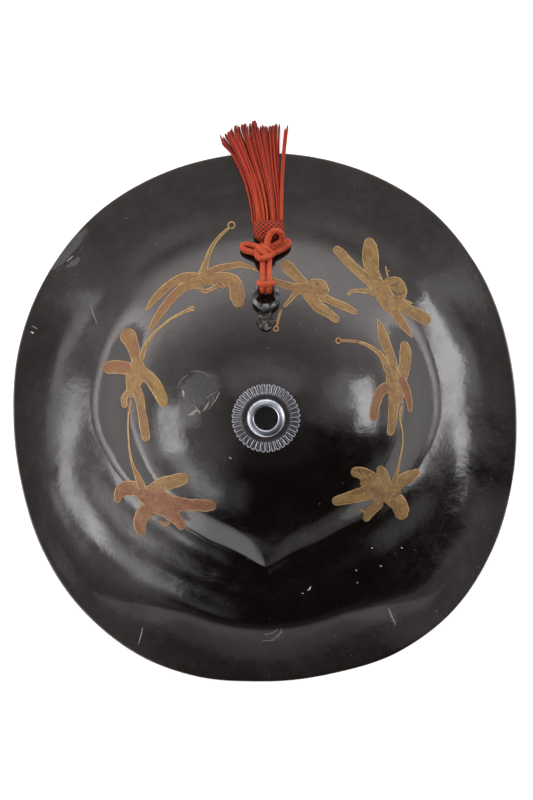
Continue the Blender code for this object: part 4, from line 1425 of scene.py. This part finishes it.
def make_head():
    """The tassel's head: a soft barrel laid on the lacquer, closed at both ends."""
    turn = 2 * np.pi * np.arange(HEAD_POINTS) / HEAD_POINTS
    columns = {}
    places = np.array([cut.along for cut in HEAD])
    for name in ("middle", "half", "height"):
        columns[name] = np.array([getattr(cut, name) for cut in HEAD])
    steps = np.interp(np.linspace(0, len(HEAD) - 1, 36), np.arange(len(HEAD)), places)
    points, uvs = [], []
    for along in steps:
        middle, half, height = (np.interp(along, places, columns[n]) for n in ("middle", "half", "height"))
        x = middle + half * np.cos(turn)
        y = np.full(HEAD_POINTS, along)
        z = ground(x, y) + CLEAR + height * (1 + np.sin(turn)) / 2
        points.append(np.stack([x, y, z], 1))
    faces = bridge(len(steps), HEAD_POINTS)
    for i in range(len(steps) - 1):
        for k in range(HEAD_POINTS):
            u, w = k / HEAD_POINTS, (k + 1) / HEAD_POINTS
            a, b = steps[i] - steps[0], steps[i + 1] - steps[0]
            uvs.append([(u, a), (u, b), (w, b), (w, a)])
    last = (len(steps) - 1) * HEAD_POINTS
    faces += [tuple(range(HEAD_POINTS))[::-1], tuple(last + k for k in range(HEAD_POINTS))]
    uvs += [[(0.1, 0)] * HEAD_POINTS, [(0.1, 16)] * HEAD_POINTS]
    pile = Pile()
    flat = np.concatenate(points)
    pile.add(flat.tolist(), [face[::-1] for face in faces], [uv[::-1] for uv in uvs], [0.0] * len(flat))
    head = pile.make("netted_head", net_material(), 60)
    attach(head, "root")
    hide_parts("tassel_head")
    return head


def strand_material():
    """Stiff twisted strands: orange near the head, crimson further out, with dusty dark ends. Strands that lie low in
    the fan are painted darker, as painted shade under the upper ones.
    """
    made, nodes, shader = material("red_silk_strands", Sheen_Weight=0.02, Sheen_Roughness=0.4, Specular_IOR_Level=0.18)
    split = nodes.node("ShaderNodeSeparateXYZ")
    nodes.put(split.inputs[0], nodes.place("UV"))
    u, v = split.outputs[0], split.outputs[1]
    tone = nodes.attribute("tone")
    patch = nodes.noise(nodes.place(), 160.0, 3.0, 0.6)
    warm = nodes.mix(nodes.span(v, 2.0, 60.0), (0.31, 0.038, 0.010), (0.28, 0.024, 0.009))
    deep = nodes.mix(nodes.span(v, 2.0, 60.0), (0.090, 0.006, 0.003), (0.055, 0.004, 0.003))
    # The tone follows how high a strand lies in the fan: low strands get painted shade.
    share = nodes.math("MULTIPLY_ADD", patch, 0.5, tone)
    shade = nodes.mix(nodes.span(share, 0.25, 1.1), deep, warm)
    shade = nodes.mix(nodes.span(v, 72.0, 84.0, 0.0, 0.55), shade, (0.10, 0.018, 0.012))
    nodes.put(shader.inputs["Base Color"], shade)
    shader.inputs["Sheen Tint"].default_value = (1.0, 0.5, 0.42, 1)
    shader.inputs["Roughness"].default_value = 0.55
    angle = nodes.math("MULTIPLY", u, 4 * math.pi)
    twist = nodes.math("SINE", nodes.math("MULTIPLY_ADD", v, 2.6, angle))
    nodes.put(shader.inputs["Normal"], nodes.bump(twist, 0.5, 0.00012))
    return made


def make_strands():
    """The fan: each strand goes from inside the head, over the lacquer and past the rim, to its tip."""
    pick = random.Random(11)
    rows = np.array([edge.row for edge in FAN])[::-1]
    columns = {}
    for name in ("left", "right", "height"):
        columns[name] = np.array([getattr(edge, name) for edge in FAN])[::-1]
    tip_shares = np.linspace(0, 1, len(TIPS))
    pile = Pile()

    def lay(column, row, lift, wide, tone):
        x, y = seen(column, row)
        base = ground(x, y) + CLEAR + wide / 2
        room = np.interp(row, rows, columns["height"]) - wide
        route = np.stack([x, y, base + lift * room], 1)
        count = len(route)
        radii = wide / 2 * np.ones(count)
        radii[-1] *= 0.55
        pile.tube(route, radii, STRAND_SIDES, tone)

    for i in range(STRANDS):
        share = (i + 0.5) / STRANDS
        share = min(max(share + pick.gauss(0, 0.006), 0.0), 1.0)
        near = int(round(share * (len(TIPS) - 1)))
        clump = tip_shares[near] + (share - tip_shares[near]) * 0.72
        tip_row = np.interp(clump, tip_shares, [tip.row for tip in TIPS]) + abs(pick.gauss(0, 2.4))
        tip_column = np.interp(clump, tip_shares, [tip.column for tip in TIPS]) + pick.gauss(0, 0.5)
        began = min(max(share + pick.gauss(0, 0.075), 0.0), 1.0)
        bow, phase = pick.gauss(0, 0.012), pick.uniform(0, 2 * math.pi)
        row = np.linspace(rows[-1], tip_row, STRAND_POINTS)
        out = (rows[-1] - row) / (rows[-1] - tip_row)
        ease = np.clip(out / 0.75, 0, 1)
        ease = ease * ease * (3 - 2 * ease)
        spot = began + (clump - began) * ease + bow * np.sin(2 * np.pi * out + phase) * (1 - out)
        left, right = (np.interp(row, rows, columns[n]) for n in ("left", "right"))
        column = left + np.clip(spot, 0, 1) * (right - left)
        late = np.clip((out - 0.8) / 0.2, 0, 1)
        column = column + (tip_column - column) * late * late
        level = pick.random() ** 0.8
        arch = np.sqrt(np.clip(1 - (2 * spot - 1) ** 2, 0.08, 1))
        lift = np.clip(level * arch * (1 - 0.25 * out), 0, 1)
        wide = pick.uniform(*STRAND_WIDE)
        # The tone is mostly the strand's height in the fan, with some random spread, so low strands get painted shade.
        lay(column, row, lift, wide, 0.75 * level + pick.uniform(-0.15, 0.25))
    for marks in APART:
        line = smooth_route([(mark.column, mark.row) for mark in marks], 3.5)
        lay(line[:, 0], line[:, 1], np.linspace(0.75, 0.35, len(line)), STRAND_WIDE[1], 0.8)
    strands = pile.make("tassel_strands", strand_material())
    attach(strands, "root")
    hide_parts("tassel_skirt")
    return strands


def make_cord(silk, pieces):
    route = smooth_route(tie_marks(), CORD_SPACING)
    pile = Pile()
    length = pile.tube(route, CORD / 2, CORD_SIDES)
    cord = pile.make("tie_cord", silk)
    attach(cord, "root")
    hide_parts("hitch", "cord_left", "cord_right")


# The gold blossoms


def lobe_sheet(pile, lobe, layer, sunk=0.12, raised=LEAF_OF_GOLD, swells=GOLD_SWELL):
    """One lobe laid on the lacquer, with a round tip and base. Its UV is the share across it and the
    length along it, and its tone how coppery it is."""
    marks = np.array([(spot.column, spot.row, spot.wide) for spot in lobe.spots], float)
    route = smooth_route(marks, LOBE_STEP)
    spine, wide = route[:, :2], route[:, 2]
    ways = np.gradient(spine, axis=0)
    ways /= np.linalg.norm(ways, axis=1)[:, None]
    caps = np.sin(np.radians([18, 36, 52, 66, 78, 87]))
    tip = spine[-1] + ways[-1] * (caps * wide[-1] / 2)[:, None]
    base = spine[0] - ways[0] * (caps * wide[0] / 2)[:, None]
    round_off = np.sqrt(1 - caps**2)
    spine = np.concatenate([base[::-1], spine, tip])
    ways = np.concatenate([np.repeat(ways[:1], len(caps), 0), ways, np.repeat(ways[-1:], len(caps), 0)])
    wide = np.concatenate([wide[0] * round_off[::-1], wide, wide[-1] * round_off])
    steps = np.linalg.norm(np.diff(spine, axis=0), axis=1)
    along = np.concatenate([[0], np.cumsum(steps)]) * PIXEL
    across = np.cos(np.pi * np.arange(LOBE_ACROSS + 1) / LOBE_ACROSS)
    normal = np.stack([-ways[:, 1], ways[:, 0]], 1)
    uneven = np.array([1 + 0.07 * noise.noise(Vector((s / 2.2, layer * 3.1, 0.4))) for s in along])
    half = wide * uneven / 2
    column = spine[:, None, 0] + normal[:, None, 0] * across[None] * half[:, None]
    row = spine[:, None, 1] + normal[:, None, 1] * across[None] * half[:, None]
    x, y = seen(column, row)
    swell = raised + swells * (1 - across**2) + GOLD_ORDER * layer
    swell = np.where(np.abs(across) > 0.999, -sunk, swell)
    z = lacquer(x, y) + swell[None]
    points = np.stack([x, y, z], 2).reshape(-1, 3)
    count, line = len(spine), LOBE_ACROSS + 1
    faces, uvs = [], []
    shares = (across + 1) / 2
    for i in range(count - 1):
        for k in range(LOBE_ACROSS):
            a, b = i * line + k, (i + 1) * line + k
            faces.append((a, a + 1, b + 1, b))
            uvs.append(((shares[k], along[i]), (shares[k + 1], along[i]), (shares[k + 1], along[i + 1]), (shares[k], along[i + 1])))
    inside = (1 - np.abs(across))[None] * half[:, None] * PIXEL
    inside = inside + np.clip(2.5 - along, 0, 2.5)[:, None]
    pile.edges.extend(inside.ravel().tolist())
    pile.add(points.tolist(), faces, uvs, [lobe.copper] * len(points))


def gold_material():
    """Old gold on lacquer: fine engraved veins, a paler outline, coppery where it is worn."""
    made, nodes, shader = material("gold_ornament", Metallic=0.12, Specular_IOR_Level=0.35)
    place = nodes.place()
    split = nodes.node("ShaderNodeSeparateXYZ")
    nodes.put(split.inputs[0], nodes.place("UV"))
    u, v = split.outputs[0], split.outputs[1]
    copper = nodes.attribute("tone")
    edge = nodes.attribute("edge")
    broad = nodes.noise(place, 38.0, 3.0, 0.6)
    grain = nodes.noise(place, 800.0, 5.0, 0.7)

    def lengthwise(across, along, depth, detail, rough):
        """Noise drawn out along a lobe."""
        field = nodes.node("ShaderNodeCombineXYZ")
        nodes.put(field.inputs[0], nodes.math("MULTIPLY", u, across))
        nodes.put(field.inputs[1], nodes.math("MULTIPLY", v, along))
        nodes.put(field.inputs[2], nodes.math("MULTIPLY", broad, depth))
        return nodes.noise(field.outputs[0], 1.0, detail, rough, 0.3)

    cloud = lengthwise(2.6, 0.075, 9.0, 4.0, 0.66)
    ridges = lengthwise(9.0, 0.22, 5.0, 3.0, 0.6)
    off = nodes.math("ABSOLUTE", nodes.math("SUBTRACT", nodes.math("PINGPONG", ridges, 0.11), 0.055))
    vein = nodes.math("MULTIPLY", nodes.span(off, 0.036, 0.010), nodes.span(edge, 0.7, 1.3))
    vein = nodes.math("MULTIPLY", vein, nodes.span(cloud, 0.34, 0.60, 0.3, 1.0))
    rim = nodes.math("MULTIPLY", nodes.span(edge, 0.20, 0.50), nodes.span(edge, 1.05, 0.65))
    inner = nodes.math("MULTIPLY", nodes.span(edge, 0.75, 1.05), nodes.span(edge, 1.7, 1.15))
    outline = nodes.span(edge, 0.32, 0.05)
    gold = nodes.mix(nodes.span(cloud, 0.32, 0.66), (0.120, 0.060, 0.012), (0.300, 0.190, 0.056))
    red = nodes.mix(nodes.span(grain, 0.3, 0.7), (0.120, 0.031, 0.007), (0.205, 0.078, 0.030))
    blend = nodes.math("MULTIPLY_ADD", broad, 1.2, nodes.math("MULTIPLY_ADD", copper, 1.1, -0.70))
    shade = nodes.mix(nodes.span(blend, 0.0, 0.9), gold, red)
    shade = nodes.mix(nodes.math("MULTIPLY", rim, 0.55), shade, (0.37, 0.26, 0.11))
    dark = nodes.math("MAXIMUM", nodes.math("MULTIPLY", vein, 0.85), nodes.math("MULTIPLY", inner, 0.62))
    dark = nodes.math("MAXIMUM", dark, nodes.math("MULTIPLY", outline, 0.85))
    shade = nodes.mix(dark, shade, (0.045, 0.020, 0.006))
    rub = nodes.span(nodes.noise(place, 360.0, 6.0, 0.75), 0.56, 0.68, 0.0, 0.75)
    shade = nodes.mix(rub, shade, (0.040, 0.021, 0.009))
    glint = nodes.span(nodes.noise(place, 520.0, 4.0, 0.7), 0.60, 0.72, 0.0, 0.45)
    shade = nodes.mix(glint, shade, (0.50, 0.37, 0.19))
    nodes.put(shader.inputs["Base Color"], shade)
    nodes.put(shader.inputs["Roughness"], nodes.math("MULTIPLY_ADD", grain, 0.3, 0.30))
    height = nodes.math("MULTIPLY_ADD", grain, 0.5, nodes.math("MULTIPLY", dark, -1.0))
    nodes.put(shader.inputs["Normal"], nodes.bump(height, 0.6, 0.00014))
    return made


def wear_and_highlight_material():
    """Chips and scratches, from dark cracks to pale worn spots, and two pale strokes on the front crease that are
    painted highlight.
    """
    made, nodes, shader = material("worn_and_highlit_marks", IOR=1.5)
    grain = nodes.noise(nodes.place(), 900.0, 3.0, 0.6)
    pale = nodes.math("MULTIPLY", nodes.attribute("tone"), nodes.span(grain, 0.3, 0.62, 0.45, 1.0))
    nodes.put(shader.inputs["Base Color"], nodes.mix(pale, (0.002, 0.002, 0.002), (0.70, 0.68, 0.66)))
    nodes.put(shader.inputs["Roughness"], nodes.math("MULTIPLY_ADD", grain, 0.3, 0.35))
    return made


def cut_material():
    made, nodes, shader = material("dark_cuts", IOR=1.5)
    cloud = nodes.noise(nodes.place(), 700.0, 3.0)
    nodes.put(shader.inputs["Base Color"], nodes.mix(cloud, (0.010, 0.006, 0.005), (0.05, 0.028, 0.016)))
    nodes.put(shader.inputs["Roughness"], nodes.math("MULTIPLY_ADD", cloud, 0.3, 0.3))
    return made


def make_blossoms():
    """The ornament, the dark lines cut into it, and the strokes of wear on the lacquer, two of them painted highlight
    on the front crease.
    """
    gold, cuts, marks = Pile(), Pile(), Pile()
    gold.edges, cuts.edges, marks.edges = [], [], []
    for blossom in BLOSSOMS:
        for layer, lobe in enumerate(blossom):
            lobe_sheet(gold, lobe, layer)
    for end in CUT_ENDS:
        turns = np.linspace(0, 2 * math.pi, 17)
        ring = [Spot(end.column + end.radius * math.cos(a), end.row + end.radius * math.sin(a), 1.8) for a in turns]
        lobe_sheet(gold, Lobe(end.copper, ring), 9)
    for line in DARK_CUTS:
        lobe_sheet(cuts, Lobe(0.0, line), 12, raised=LEAF_OF_GOLD + GOLD_SWELL)
    for stroke in STROKES:
        lobe_sheet(marks, Lobe(stroke.pale, stroke.spots), 0, raised=STROKE_HIGH, swells=STROKE_HIGH)
    sheets = (
        (gold, "gold_blossoms", gold_material()),
        (cuts, "blossom_cuts", cut_material()),
        (marks, "worn_and_highlit_marks", wear_and_highlight_material()),
    )
    for pile, name, finish in sheets:
        made = pile.make(name, finish)
        edges = made.data.attributes.new("edge", "FLOAT", "POINT")
        edges.data.foreach_set("value", np.array(pile.edges, float))
        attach(made, "root")


make_camera()
make_world()
make_stage()
make_shell()
make_blossoms()
silk = silk_material("red_silk_cord", (0.185, 0.014, 0.006), (0.37, 0.058, 0.016), PLAIT_PITCH)
make_cord(silk, [make_knot(silk), make_head(), make_strands()])
make_crown_plate()
make_eyelet()
make_ring()
make_staple()
finish_leaf()

visual_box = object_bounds()
boxes = {"cad": cad_box, "visual": visual_box}
{name: [list(corner) for corner in box] for name, box in boxes.items()}
